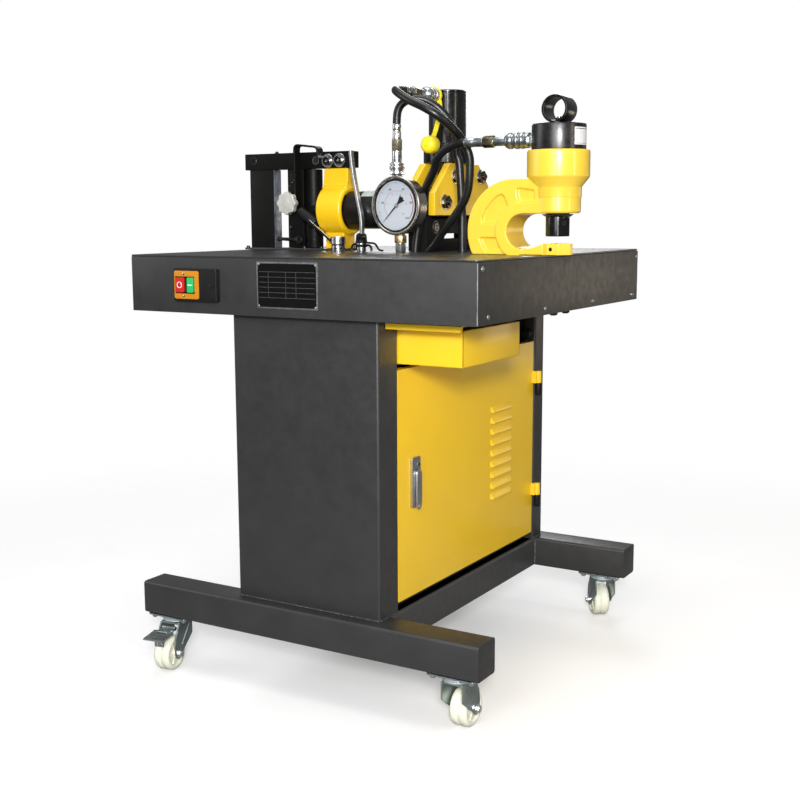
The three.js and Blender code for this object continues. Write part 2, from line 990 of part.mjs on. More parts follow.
// -------------------------------------------------------------------- bender
{
  const g = new THREE.Group();
  g.position.set(0, BEND_Y, TABLE_TOP);
  machine.add(g);
  const w = 18; // half width of the bars along Y
  piece(
    "bender_post",
    join(
      box(-347.3, -286.7, -16, 7.5, 3, 158.2),
      box(-358, -110, -24, w, GAP, 4),
    ),
    "black",
    g,
  );
  piece("bender_top_bar", box(-357.5, -102.3, -w, 9.5, 158.5, 190), "black", g);
  // cylinder carrier: round body, neck up to the top bar, feet on the base bar
  piece(
    "bender_body",
    cut(
      join(
        rod("x", 48, -168, -110, 0, BEND_Z, 40),
        slabXZ(
          [
            [-168, 100],
            [-116, 100],
            [-111.7, 140],
            [-111.7, 158.2],
            [-166, 158.2],
            [-168, 132],
          ],
          -16,
          9.5,
        ),
        box(-160, -118, -22, 18, 4.3, 50),
      ),
      rod("x", 36.4, -150, -100, 0, BEND_Z, 36),
      rod("x", 12.4, -180, -140, 0, BEND_Z, 20),
    ),
    "yellow",
    g,
  );
  piece(
    "bender_cylinder",
    cut(
      turned(
        "x",
        [
          [0, -149.6],
          [36, -149.6],
          [36, -2],
          [34, 0],
          [0, 0],
        ],
        0,
        BEND_Z,
        36,
      ),
      rod("x", 12.4, -155, -105, 0, BEND_Z, 20),
    ),
    "black",
    g,
  );
  // moving slide: column, round bending bar and the piston rod behind them
  piece(
    "bender_ram",
    join(
      box(-254, -216, -16, 7.5, 4.6, 158),
      rod("z", 17.5, 4.6, 157.5, -203, 1.5, 28),
      rod("x", 17, -200, -175, 0, BEND_Z, 24),
      rod("x", 12, -180, -112, 0, BEND_Z, 20),
    ),
    "black",
    g,
  );
  // bent flat strap, on edge in front of the bars; a lug ties it to the slide
  const y = -28.3,
    sw = 19.4,
    st = 4.4;
  const strap = [
    [-167.6, 176],
    [-167.6, 194],
    [-171.5, 197.8],
    [-216, 203.4],
    [-220.6, 201.6],
    [-222.2, 197],
    [-222.2, 82],
    [-178, 52.5],
  ];
  // round sleeve on the slanting end of the strap, with a narrow tip beyond it
  const sleeve = new THREE.CylinderGeometry(8.5, 8.5, 43, 24);
  sleeve.rotateZ(Math.PI / 2);
  sleeve.rotateY(Math.atan2(29.5, 44.2));
  sleeve.translate(-196.2, -30, 64.7);
  piece(
    "strap_handle",
    join(
      ...strap
        .slice(1)
        .map(([x, z], i) =>
          flatBar([strap[i][0], y, strap[i][1]], [x, y, z], sw, st),
        ),
      solid(sleeve),
      flatBar([-196, -38, 64.5], [-174, -38, 49.8], 10, st),
      flatBar([-180, -41.2, 53.8], [-134, -41.2, 19], 6, st),
      box(-246, -220, -20, -16 - GAP, 112, 150),
    ),
    "black",
    g,
  );
  // star knob, screwed into the front of the slide's column
  const star = [];
  for (let i = 0; i < 32; i++) {
    const t = (i / 32) * 2 * Math.PI;
    const r = 21.2 + 1.3 * Math.cos(8 * t);
    star.push([-234 + r * Math.cos(t), 91.5 + r * Math.sin(t)]);
  }
  piece(
    "star_knob",
    join(
      slabXZ(star, -51, -39.2),
      turned(
        "y",
        [
          [0, -40],
          [9, -40],
          [9, -16 - GAP],
          [0, -16 - GAP],
        ],
        -234,
        91.5,
        16,
      ),
    ),
    "steel",
    g,
  );
}

// --------------------------------------------------------------- table gear
{
  const g = new THREE.Group();
  g.position.set(GAUGE_X, GAUGE_Y, TABLE_TOP);
  g.rotation.z = THREE.MathUtils.degToRad(-5);
  machine.add(g);
  const d = 16; // half depth of the case
  piece(
    "gauge_case",
    cut(
      join(
        turned(
          "y",
          [
            [0, -d],
            [GAUGE_R - 2, -d],
            [GAUGE_R, -d + 2],
            [GAUGE_R, -d + 9],
            [GAUGE_R - 2, -d + 11],
            [GAUGE_R - 2, d - 2],
            [GAUGE_R - 6, d],
            [0, d],
          ],
          0,
          GAUGE_Z,
          30,
        ),
        rod("z", 11.5, 15, 36, 0, 2, 6),
        rod("z", 9, GAP, 16, 0, 2, 20),
        rod("z", 9.5, 120, 141, -8, 3, 20),
      ),
      rod("y", GAUGE_R - 6, -d - 2, -d + 8, 0, GAUGE_Z, 30),
    ),
    "steel",
    g,
  );
  // pointer on its short spindle
  piece(
    "gauge_needle",
    join(
      slabXZ(
        [
          [-31, 56.6],
          [-30, 55.6],
          [2, GAUGE_Z - 2.5],
          [11, GAUGE_Z + 5],
          [13, GAUGE_Z + 14],
          [4, GAUGE_Z + 11],
          [-2.5, GAUGE_Z + 2],
        ],
        -d + 4.6,
        -d + 5.6,
      ),
      rod("y", 3, -d + 3.6, -d + 7.6, 0, GAUGE_Z, 12),
    ),
    "black",
    g,
  );
  piece(
    "gauge_coupler",
    turned(
      "z",
      [
        [0, 141 + GAP],
        [14, 141 + GAP],
        [14, 161],
        [9, 163],
        [9, 184],
        [10.5, 185],
        [10.5, 205],
        [8, 206],
        [8, 232],
        [0, 232],
      ],
      -8,
      3,
      20,
    ),
    "zinc",
    g,
  );
}
{
  const g = new THREE.Group();
  g.position.set(VALVE_X, VALVE_Y, TABLE_TOP);
  machine.add(g);
  piece(
    "valve_body",
    join(
      rod("z", 9, GAP, 17, 0, 0, 20),
      rod("z", 12, 15, 22, 0, 0, 20),
      box(-7, 7, 5, 9, 20, 34),
      box(-7, 7, -9, -5, 20, 34),
    ),
    "black",
    g,
  );
  piece(
    "valve_lever",
    join(
      rod("y", 5, -4.4, 4.4, 0, 28.5, 16),
      flatBar([0, 0, 28.5], [2, 0, 55], 8, 4),
      flatBar([2, 0, 50], [-5, 0, 91], 12, 4.4),
      flatBar([-5, 0, 91], [-14, 0, 134], 12, 4.4),
      flatBar([-14, 0, 134], [-21, 0, 188], 12, 4.4),
    ),
    "steel",
    g,
  );
  piece(
    "table_coupler",
    turned(
      "z",
      [
        [0, GAP],
        [12, GAP],
        [12, 5],
        [14, 6],
        [14, 26],
        [12, 28],
        [0, 28],
      ],
      -53,
      0,
      24,
    ),
    "zinc",
    g,
  );
}

// --------------------------------------------------------------------- hoses
// Each hose leaves its fitting and goes down through a hole in the table.
const HOSE_ROUTES = {
  hose_gauge: [
    [22.3, -37, 232.8],
    [22.8, -37, 242],
    [24.5, -37, 254],
    [29.2, -36, 264],
    [36.4, -34, 270.5],
    [46, -31, 274.5],
    [59, -26, 276.3],
    [75.5, -18, 272],
    [94.9, -10, 258.1],
    [110.6, 0, 237.7],
    [120.3, 8, 210.5],
    [119.6, 13, 176.6],
    [123.3, 15, 165],
    [126.1, 16, 133.3],
    [127.9, 17, 95.8],
    [129.6, 17, 58],
    [130, 17, 10],
    [130, 17, -30],
  ],
  hose_cutter: [
    [44, -47.6, 290],
    [44, -56, 290],
    [44.6, -70, 289.3],
    [48.5, -84, 287],
    [61, -95, 280.6],
    [88.3, -106, 266.7],
    [120.1, -110, 252.9],
    [142.1, -104, 239.4],
    [156.4, -84, 222.8],
    [162.4, -60, 206.5],
    [170.9, -47, 185.9],
    [176, -43, 166.9],
    [175.7, -41.5, 149],
    [174, -40, 131],
    [169.8, -37, 113.1],
    [161.7, -34, 95],
    [149.6, -31, 78.6],
    [135.9, -29, 62.1],
    [119.4, -26, 45.4],
    [104, -20, 30],
    [88, -13.5, 13.6],
    [73, -10.3, 1],
    [66, -9.5, -9],
    [61.8, -9, -19],
    [60, -9, -30],
  ],
  hose_punch: [
    [179.4, -69, 192],
    [172, -69, 192],
    [165, -69, 191.2],
    [156.5, -68, 188.6],
    [136.4, -65, 180.2],
    [118.9, -60, 165.9],
    [109.1, -50, 150.3],
    [92.2, -37, 132.6],
    [73.4, -20, 114.7],
    [67, -14, 95],
    [59, -11, 76],
    [52.5, -9, 52],
    [48, -8.2, 28],
    [45, -8, 8],
    [44, -8, -14],
    [44, -8, -30],
  ],
};
for (const [name, route] of Object.entries(HOSE_ROUTES)) {
  const curve = new THREE.CatmullRomCurve3(
    route.map(([x, y, z]) => new THREE.Vector3(x, y, z + TABLE_TOP)),
    false,
    "centripetal",
  );
  const section = new THREE.Shape(
    Array.from({ length: 8 }, (_, i) => {
      const t = (i / 8) * 2 * Math.PI;
      return new THREE.Vector2(HOSE_R * Math.cos(t), HOSE_R * Math.sin(t));
    }),
  );
  const g = new THREE.ExtrudeGeometry(section, {
    steps: 18,
    bevelEnabled: false,
    extrudePath: curve,
  });
  piece(name, solid(g), "rubber");
}

export default machine;
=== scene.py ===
# Looks of the hydraulic busbar processing machine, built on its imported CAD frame.
# Numbers are millimetres measured from the middle of the table (x, y) and from the
# floor (z); T is the height of the work surface.
import math

import bmesh
import bpy
from mathutils import Matrix, Vector


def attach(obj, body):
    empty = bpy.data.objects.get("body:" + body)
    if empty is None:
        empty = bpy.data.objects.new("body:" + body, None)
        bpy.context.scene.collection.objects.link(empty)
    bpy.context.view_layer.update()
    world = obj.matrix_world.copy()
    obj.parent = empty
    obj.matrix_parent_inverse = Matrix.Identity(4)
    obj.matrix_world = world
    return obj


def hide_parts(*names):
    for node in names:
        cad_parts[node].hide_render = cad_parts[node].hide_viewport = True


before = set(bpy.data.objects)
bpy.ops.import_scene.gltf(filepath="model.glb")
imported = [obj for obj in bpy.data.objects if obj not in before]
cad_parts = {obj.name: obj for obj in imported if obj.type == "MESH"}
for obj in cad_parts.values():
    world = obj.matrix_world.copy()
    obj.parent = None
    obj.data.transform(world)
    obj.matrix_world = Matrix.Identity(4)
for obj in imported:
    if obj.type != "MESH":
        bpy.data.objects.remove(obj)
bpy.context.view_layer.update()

OX, OY, T = 25.5, -14.25, 765.0
M0 = Matrix.Scale(0.001, 4) @ Matrix.Translation((-OX, -OY, 0))


def at(x, y, z=0.0, turn=0.0):
    return M0 @ Matrix.Translation((x, y, z)) @ Matrix.Rotation(math.radians(turn), 4, "Z")


# ------------------------------------------------------------------- camera
def make_camera():
    yaw, pitch, roll = (math.radians(a) for a in (30.9127, 8.7245, -0.2331))
    fwd = Vector((-math.sin(yaw) * math.cos(pitch), math.cos(yaw) * math.cos(pitch), -math.sin(pitch)))
    r0 = Vector((math.cos(yaw), math.sin(yaw), 0))
    u0 = r0.cross(fwd)
    r = math.cos(roll) * r0 + math.sin(roll) * u0
    u = -math.sin(roll) * r0 + math.cos(roll) * u0
    loc = M0 @ Vector((1178.734, -1960.516, T + 66.845))
    cam = bpy.data.cameras.new("camera")
    cam.sensor_width = 36
    cam.lens = 1201.269 * 36 / 800
    cam.clip_start, cam.clip_end = 0.05, 60
    ob = bpy.data.objects.new("camera", cam)
    bpy.context.scene.collection.objects.link(ob)
    ob.matrix_world = Matrix(
        ((r.x, u.x, -fwd.x, loc.x), (r.y, u.y, -fwd.y, loc.y), (r.z, u.z, -fwd.z, loc.z), (0, 0, 0, 1))
    )
    bpy.context.scene.camera = ob


make_camera()


# ---------------------------------------------------------------- materials
MATS = {}


def make(
    name,
    base,
    rough=0.4,
    metal=0.0,
    coat=0.0,
    coat_rough=0.08,
    var=0.08,
    var_scale=35.0,
    rough_var=0.06,
    bump=0.12,
    bump_scale=900.0,
    bump_kind="noise",
    dist=0.0002,
    stretch=(1, 1, 1),
    wear_and_edge_highlight=None,
    tint=None,
    specular=0.5,
):
    m = bpy.data.materials.new(name)
    m.use_nodes = True
    nt = m.node_tree
    nt.nodes.clear()
    out = nt.nodes.new("ShaderNodeOutputMaterial")
    bs = nt.nodes.new("ShaderNodeBsdfPrincipled")
    nt.links.new(bs.outputs[0], out.inputs[0])
    co = nt.nodes.new("ShaderNodeTexCoord")
    mp = nt.nodes.new("ShaderNodeMapping")
    mp.inputs["Scale"].default_value = stretch
    nt.links.new(co.outputs["Object"], mp.inputs[0])
    # colour drift over the surface
    n1 = nt.nodes.new("ShaderNodeTexNoise")
    n1.inputs["Scale"].default_value = var_scale
    n1.inputs["Detail"].default_value = 5
    nt.links.new(mp.outputs[0], n1.inputs["Vector"])
    ramp = nt.nodes.new("ShaderNodeValToRGB")
    lo = [c * (1 - var) for c in base]
    hi = [min(1, c * (1 + var)) for c in (tint or base)]
    ramp.color_ramp.elements[0].position = 0.32
    ramp.color_ramp.elements[1].position = 0.68
    ramp.color_ramp.elements[0].color = (*lo, 1)
    ramp.color_ramp.elements[1].color = (*hi, 1)
    nt.links.new(n1.outputs["Fac"], ramp.inputs[0])
    colour = ramp.outputs[0]
    # lighter colour on sharp convex edges, by pointiness: worn paint and a painted edge highlight
    if wear_and_edge_highlight:
        geo = nt.nodes.new("ShaderNodeNewGeometry")
        wr = nt.nodes.new("ShaderNodeValToRGB")
        wr.color_ramp.elements[0].position = wear_and_edge_highlight[0]
        wr.color_ramp.elements[1].position = wear_and_edge_highlight[1]
        nt.links.new(geo.outputs["Pointiness"], wr.inputs[0])
        mix = nt.nodes.new("ShaderNodeMix")
        mix.data_type = "RGBA"
        mix.inputs[7].default_value = (*wear_and_edge_highlight[2], 1)
        nt.links.new(wr.outputs[0], mix.inputs[0])
        nt.links.new(colour, mix.inputs[6])
        colour = mix.outputs[2]
    nt.links.new(colour, bs.inputs["Base Color"])
    bs.inputs["Metallic"].default_value = metal
    bs.inputs["Specular IOR Level"].default_value = specular
    if coat:
        bs.inputs["Coat Weight"].default_value = coat
        bs.inputs["Coat Roughness"].default_value = coat_rough
    # gloss that varies a little
    n2 = nt.nodes.new("ShaderNodeTexNoise")
    n2.inputs["Scale"].default_value = var_scale * 3.1
    n2.inputs["Detail"].default_value = 4
    nt.links.new(mp.outputs[0], n2.inputs["Vector"])
    mr = nt.nodes.new("ShaderNodeMapRange")
    mr.inputs["From Min"].default_value = 0.3
    mr.inputs["From Max"].default_value = 0.7
    mr.inputs["To Min"].default_value = max(0.02, rough - rough_var)
    mr.inputs["To Max"].default_value = rough + rough_var
    nt.links.new(n2.outputs["Fac"], mr.inputs["Value"])
    nt.links.new(mr.outputs[0], bs.inputs["Roughness"])
    # fine relief
    if bump_kind == "hammer":
        tex = nt.nodes.new("ShaderNodeTexVoronoi")
        tex.feature = "SMOOTH_F1"
        tex.inputs["Scale"].default_value = bump_scale
        tex.inputs["Smoothness"].default_value = 0.8
        height = tex.outputs["Distance"]
    else:
        tex = nt.nodes.new("ShaderNodeTexNoise")
        tex.inputs["Scale"].default_value = bump_scale
        tex.inputs["Detail"].default_value = 3
        height = tex.outputs["Fac"]
    nt.links.new(mp.outputs[0], tex.inputs["Vector"])
    bp = nt.nodes.new("ShaderNodeBump")
    bp.inputs["Strength"].default_value = bump
    bp.inputs["Distance"].default_value = dist
    nt.links.new(height, bp.inputs["Height"])
    nt.links.new(bp.outputs[0], bs.inputs["Normal"])
    MATS[name] = m
    return m


make("grey", (0.022, 0.0222, 0.0218), 0.42, 0.0, coat=0.1, coat_rough=0.25, var=0.14, var_scale=22, bump=0.2,
     bump_scale=420, bump_kind="hammer", dist=0.0002, wear_and_edge_highlight=(0.54, 0.66, (0.10, 0.10, 0.102)))
make("table", (0.024, 0.024, 0.023), 0.32, 0.0, coat=0.06, coat_rough=0.14, rough_var=0.06, var=0.1, var_scale=14, bump=0.03,
     bump_scale=380, bump_kind="hammer", dist=0.00015, wear_and_edge_highlight=(0.5, 0.86, (0.085, 0.085, 0.084)))
make("yellow", (0.92, 0.58, 0.018), 0.36, 0.0, coat=0.3, coat_rough=0.12, var=0.025, var_scale=9, bump=0.05,
     bump_scale=240, dist=0.0002, rough_var=0.04)
make("cast_yellow", (0.86, 0.585, 0.05), 0.34, 0.0, coat=0.45, coat_rough=0.1, var=0.03, var_scale=14, bump=0.12,
     bump_scale=120, dist=0.0003, rough_var=0.04)
make("cast_yellow2", (0.86, 0.52, 0.006), 0.38, 0.0, coat=0.3, coat_rough=0.14, var=0.03, var_scale=14, bump=0.14,
     bump_scale=140, dist=0.0003, rough_var=0.04)
make("black", (0.0036, 0.0036, 0.0033), 0.44, 0.0, specular=0.14, var=0.2, bump=0.12,
     bump_scale=260, dist=0.0002, wear_and_edge_highlight=(0.55, 0.68, (0.03, 0.03, 0.028)))
make("black_gloss", (0.0035, 0.0035, 0.0036), 0.22, 0.0, coat=0.3, coat_rough=0.08, var=0.2, bump=0.04,
     bump_scale=260, dist=0.0002, wear_and_edge_highlight=(0.56, 0.7, (0.03, 0.03, 0.03)))
make("black_satin", (0.004, 0.004, 0.0042), 0.4, 0.0, specular=0.4, var=0.2, bump=0.04, bump_scale=260, dist=0.0002)
make("black_blued", (0.005, 0.005, 0.0056), 0.3, 0.0, specular=0.9, var=0.2, bump=0.03, bump_scale=260, dist=0.0002)
make("black_oxide", (0.011, 0.011, 0.0108), 0.36, 0.4, specular=0.3, var=0.2, bump=0.2, bump_scale=500,
     wear_and_edge_highlight=(0.55, 0.66, (0.09, 0.09, 0.09)))
make("black_chrome", (0.11, 0.10, 0.09), 0.18, 1.0, var=0.2, var_scale=120, bump=0.06, bump_scale=600)
make("black_plastic", (0.007, 0.007, 0.0072), 0.5, 0.0, specular=0.3, var=0.1, bump=0.3, bump_scale=1500, dist=0.0001)
make("zinc", (0.46, 0.51, 0.53), 0.3, 1.0, var=0.07, var_scale=30, rough_var=0.05, bump=0.03,
     bump_scale=260, dist=0.0001, tint=(0.60, 0.63, 0.62))
# darker teal copy of zinc for the caster forks and the plate under the pedal: partly their own darker finish, partly
# painted shade
make("zinc_dark_and_painted_shade", (0.25, 0.30, 0.30), 0.36, 0.9, var=0.1, var_scale=26, rough_var=0.06, bump=0.03,
     bump_scale=260, dist=0.0001, tint=(0.36, 0.41, 0.40))
make("chrome_zinc", (0.70, 0.73, 0.75), 0.24, 1.0, var=0.06, var_scale=40, rough_var=0.05, bump=0.02,
     bump_scale=260, dist=0.0001, tint=(0.80, 0.81, 0.80))
make("lever_zinc", (0.92, 0.92, 0.93), 0.36, 1.0, var=0.04, var_scale=60, rough_var=0.06, bump=0.05,
     bump_scale=500)
make("guide", (0.30, 0.34, 0.44), 0.36, 0.9, var=0.34, var_scale=46, rough_var=0.1, bump=0.15,
     bump_scale=500, tint=(0.42, 0.46, 0.54))
make("alu_matt", (0.66, 0.65, 0.60), 0.5, 0.55, var=0.1, var_scale=50, rough_var=0.08, bump=0.2,
     bump_scale=420, dist=0.0002)
make("case_alu", (0.52, 0.53, 0.53), 0.36, 1.0, var=0.06, var_scale=30, rough_var=0.05, bump=0.05,
     bump_scale=300, stretch=(1, 1, 10), dist=0.0001)
make("case_steel", (0.60, 0.56, 0.50), 0.24, 1.0, var=0.12, var_scale=40, rough_var=0.06, bump=0.12,
     bump_scale=420, stretch=(1, 14, 1), dist=0.0001)
make("steel", (0.56, 0.57, 0.58), 0.27, 1.0, var=0.1, var_scale=40, rough_var=0.08, bump=0.15,
     bump_scale=420, stretch=(1, 1, 14), dist=0.00015)
make("brass", (0.80, 0.60, 0.28), 0.24, 1.0, var=0.14, var_scale=90, rough_var=0.08, bump=0.06,
     bump_scale=600, tint=(0.92, 0.76, 0.46))
make("brass_pale", (0.72, 0.64, 0.40), 0.24, 1.0, var=0.16, var_scale=90, rough_var=0.08, bump=0.06,
     bump_scale=600, tint=(0.86, 0.82, 0.62))
make("olive_brass", (0.24, 0.20, 0.10), 0.24, 1.0, var=0.2, var_scale=90, rough_var=0.08, bump=0.06,
     bump_scale=600, tint=(0.36, 0.32, 0.2))
make("nylon", (0.82, 0.82, 0.67), 0.42, 0.0, var=0.04, var_scale=120, bump=0.1, bump_scale=400)
make("rubber", (0.0055, 0.0055, 0.0058), 0.36, 0.0, coat=0.15, coat_rough=0.2, var=0.15, var_scale=90,
     bump=0.15, bump_scale=1300, dist=0.0001)
make("red_plastic", (0.52, 0.02, 0.016), 0.3, 0.0, coat=0.3, var=0.04, bump=0.05)
make("green_plastic", (0.03, 0.46, 0.13), 0.3, 0.0, coat=0.3, var=0.04, bump=0.05)
make("orange_plastic", (0.56, 0.215, 0.006), 0.4, 0.0, var=0.05, bump=0.1)
make("white_print", (0.88, 0.88, 0.86), 0.45, 0.0, var=0.02, bump=0.05)
make("label", (0.78, 0.78, 0.78), 0.42, 0.0, var=0.04, bump=0.1, bump_scale=500)
make("dial", (0.88, 0.91, 0.95), 0.5, 0.0, var=0.02, bump=0.05, coat=0.2)
make("dial_wet", (0.82, 0.86, 0.92), 0.4, 0.0, var=0.03, bump=0.03, coat=0.3)
# lighter metal for the apron's cut edge: bare edge and painted edge highlight
make("worn_edge_and_painted_highlight", (0.30, 0.31, 0.31), 0.42, 0.35, var=0.45, var_scale=28, rough_var=0.08, bump=0.08, bump_scale=400)
make("label_grey", (0.36, 0.41, 0.39), 0.5, 0.0, var=0.16, var_scale=170, bump=0.1, bump_scale=500)
# lighter, less metallic copy of zinc for the ball races and the pedal's slot edge: painted sheen in place of their
# bright reflection
make("zinc_painted_sheen", (0.62, 0.70, 0.72), 0.3, 0.6, var=0.08, var_scale=40, rough_var=0.05, bump=0.02, bump_scale=260, dist=0.0001)
make("ink", (0.012, 0.012, 0.013), 0.5, 0.0, var=0.1, bump=0.05)
make("pale_ink", (0.11, 0.14, 0.2), 0.5, 0.0, var=0.1, bump=0.05)
make("pale_red", (0.62, 0.36, 0.42), 0.5, 0.0, var=0.1, bump=0.05)
make("red_ink", (0.55, 0.10, 0.13), 0.5, 0.0, var=0.05, bump=0.05)
make("plate_black", (0.003, 0.003, 0.003), 0.55, 0.0, specular=0.12, var=0.25, var_scale=60, bump=0.05, bump_scale=300)
make("plate_line", (0.075, 0.075, 0.07), 0.5, 0.2, var=0.3, var_scale=160, bump=0.05, bump_scale=400)
make("plate_metal", (0.36, 0.36, 0.35), 0.38, 0.9, var=0.2, var_scale=120, rough_var=0.08, bump=0.12,
     bump_scale=700, dist=0.0001)
make("dark", (0.004, 0.004, 0.004), 0.6, 0.0, var=0.2, bump=0.2, bump_scale=300)
make("yellow_rubber", (0.93, 0.76, 0.02), 0.34, 0.0, coat=0.2, coat_rough=0.15, var=0.03, bump=0.1, bump_scale=300)


def glass():
    m = bpy.data.materials.new("gauge_glass")
    m.use_nodes = True
    nt = m.node_tree
    bs = nt.nodes["Principled BSDF"]
    bs.inputs["Base Color"].default_value = (0.97, 0.985, 1, 1)
    bs.inputs["Transmission Weight"].default_value = 1.0
    bs.inputs["IOR"].default_value = 1.12
    n = nt.nodes.new("ShaderNodeTexNoise")
    n.inputs["Scale"].default_value = 200
    mr = nt.nodes.new("ShaderNodeMapRange")
    mr.inputs["To Min"].default_value = 0.0
    mr.inputs["To Max"].default_value = 0.03
    nt.links.new(n.outputs["Fac"], mr.inputs["Value"])
    nt.links.new(mr.outputs[0], bs.inputs["Roughness"])
    MATS["glass"] = m


glass()


# ----------------------------------------------------------- mesh primitives
def bm_box(x0, x1, y0, y1, z0, z1):
    bm = bmesh.new()
    bmesh.ops.create_cube(bm, size=1)
    bmesh.ops.scale(bm, vec=(x1 - x0, y1 - y0, z1 - z0), verts=bm.verts)
    bmesh.ops.translate(bm, vec=((x0 + x1) / 2, (y0 + y1) / 2, (z0 + z1) / 2), verts=bm.verts)
    return bm


PERM = {
    "x": Matrix(((0, 0, 1, 0), (1, 0, 0, 0), (0, 1, 0, 0), (0, 0, 0, 1))),
    "y": Matrix(((1, 0, 0, 0), (0, 0, 1, 0), (0, 1, 0, 0), (0, 0, 0, 1))),
    "z": Matrix.Identity(4),
}


def bm_prism(points, axis, a, b):
    """Outline in the plane across the axis: (y, z) for x, (x, z) for y, (x, y) for z."""
    bm = bmesh.new()
    low = [bm.verts.new((u, v, a)) for u, v in points]
    high = [bm.verts.new((u, v, b)) for u, v in points]
    n = len(points)
    bm.faces.new(low[::-1])
    bm.faces.new(high)
    for i in range(n):
        j = (i + 1) % n
        bm.faces.new((low[i], low[j], high[j], high[i]))
    bm.transform(PERM[axis])
    bmesh.ops.recalc_face_normals(bm, faces=bm.faces)
    return bm


def bm_lathe(axis, profile, p=0.0, q=0.0, seg=56, a0=0.0, a1=360.0):
    """Profile of (radius, height along the axis); p, q are the other two coordinates."""
    bm = bmesh.new()
    full = abs(a1 - a0 - 360) < 1e-6
    steps = seg if full else max(2, int(seg * (a1 - a0) / 360))
    rings = []
    count = steps if full else steps + 1
    for i in range(count):
        t = math.radians(a0 + (a1 - a0) * i / steps)
        ring = []
        for r, h in profile:
            if r < 1e-6 and i > 0:
                ring.append(rings[0][len(ring)])
            else:
                ring.append(bm.verts.new((r * math.cos(t), r * math.sin(t), h)))
        rings.append(ring)
    n = len(profile)
    for i in range(steps):
        A, B = rings[i], rings[(i + 1) % count]
        for k in range(n - 1):
            f = []
            for v in (A[k], B[k], B[k + 1], A[k + 1]):
                if v not in f:
                    f.append(v)
            if len(f) > 2:
                bm.faces.new(f)
    bm.transform(PERM[axis])
    off = {"x": (0, p, q), "y": (p, 0, q), "z": (p, q, 0)}[axis]
    bmesh.ops.translate(bm, vec=off, verts=bm.verts)
    bmesh.ops.recalc_face_normals(bm, faces=bm.faces)
    return bm


def bm_cyl(axis, r, a, b, p=0.0, q=0.0, seg=40):
    return bm_lathe(axis, [(0, a), (r, a), (r, b), (0, b)], p, q, seg)


def bm_tube(points, r, seg=12, closed=False, radii=None, flat=None):
    """Round (or flat=(w, h)) bar through points."""
    bm = bmesh.new()
    pts = [Vector(p) for p in points]
    n = len(pts)
    rings = []
    prev = None
    for i, p in enumerate(pts):
        a = pts[(i - 1) % n] if closed or i > 0 else p
        b = pts[(i + 1) % n] if closed or i < n - 1 else p
        d = (b - a).normalized()
        if prev is None:
            ref = Vector((0, 1, 0)) if abs(d.y) < 0.9 else Vector((1, 0, 0))
            u = (ref - d * ref.dot(d)).normalized()
        else:
            u = (prev - d * prev.dot(d)).normalized()
        prev = u
        v = d.cross(u)
        rr = radii[i] if radii else r
        ring = []
        if flat:
            w, h = flat[0] / 2, flat[1] / 2
            c = min(w, h) * 0.35
            sec = [(w - c, -h), (w, -h + c), (w, h - c), (w - c, h), (-w + c, h), (-w, h - c), (-w, -h + c), (-w + c, -h)]
            for s, t in sec:
                ring.append(bm.verts.new(p + u * s + v * t))
        else:
            for k in range(seg):
                t = 2 * math.pi * k / seg
                ring.append(bm.verts.new(p + u * rr * math.cos(t) + v * rr * math.sin(t)))
        rings.append(ring)
    m = len(rings[0])
    for i in range(n if closed else n - 1):
        A, B = rings[i], rings[(i + 1) % n]
        for k in range(m):
            bm.faces.new((A[k], A[(k + 1) % m], B[(k + 1) % m], B[k]))
    if not closed:
        bm.faces.new(rings[0][::-1])
        bm.faces.new(rings[-1])
    bmesh.ops.recalc_face_normals(bm, faces=bm.faces)
    return bm


def arc(cu, cv, r, d0, d1, n):
    return [
        (cu + r * math.cos(math.radians(d0 + (d1 - d0) * i / n)), cv + r * math.sin(math.radians(d0 + (d1 - d0) * i / n)))
        for i in range(n + 1)
    ]


def rounded(x0, x1, y0, y1, r, n=5):
    return (
        arc(x1 - r, y1 - r, r, 0, 90, n) + arc(x0 + r, y1 - r, r, 90, 180, n)
        + arc(x0 + r, y0 + r, r, 180, 270, n) + arc(x1 - r, y0 + r, r, 270, 360, n)
    )


def ngon(cx, cy, r, n=6, turn=0.0):
    return [
        (cx + r * math.cos(math.radians(turn) + 2 * math.pi * i / n), cy + r * math.sin(math.radians(turn) + 2 * math.pi * i / n))
        for i in range(n)
    ]


def bevel(bm, w, seg=2, angle=30.0):
    if w <= 0:
        return bm
    lim = math.radians(angle)
    edges = [e for e in bm.edges if len(e.link_faces) == 2 and e.calc_face_angle(0) > lim]
    if edges:
        bmesh.ops.bevel(bm, geom=edges, offset=w, offset_type="OFFSET", segments=seg, profile=0.6,
                        affect="EDGES", clamp_overlap=True)
    return bm


def mesh_object(bm, name="scratch"):
    me = bpy.data.meshes.new(name)
    bm.to_mesh(me)
    bm.free()
    ob = bpy.data.objects.new(name, me)
    bpy.context.scene.collection.objects.link(ob)
    return ob


def evaluated(ob):
    dg = bpy.context.evaluated_depsgraph_get()
    me = bpy.data.meshes.new_from_object(ob.evaluated_get(dg))
    bm = bmesh.new()
    bm.from_mesh(me)
    bpy.data.meshes.remove(me)
    return bm


def drop(ob):
    me = ob.data
    bpy.data.objects.remove(ob)
    bpy.data.meshes.remove(me)


def boolean(bm, cutters, op="DIFFERENCE"):
    ob = mesh_object(bm)
    obs = [mesh_object(c) for c in cutters]
    for c in obs:
        m = ob.modifiers.new("cut", "BOOLEAN")
        m.object = c
        m.operation = op
        m.solver = "EXACT"
    out = evaluated(ob)
    drop(ob)
    for c in obs:
        drop(c)
    return out


def merge(bms):
    total = bmesh.new()
    for b in bms:
        me = bpy.data.meshes.new("m")
        b.to_mesh(me)
        b.free()
        total.from_mesh(me)
        bpy.data.meshes.remove(me)
    return total


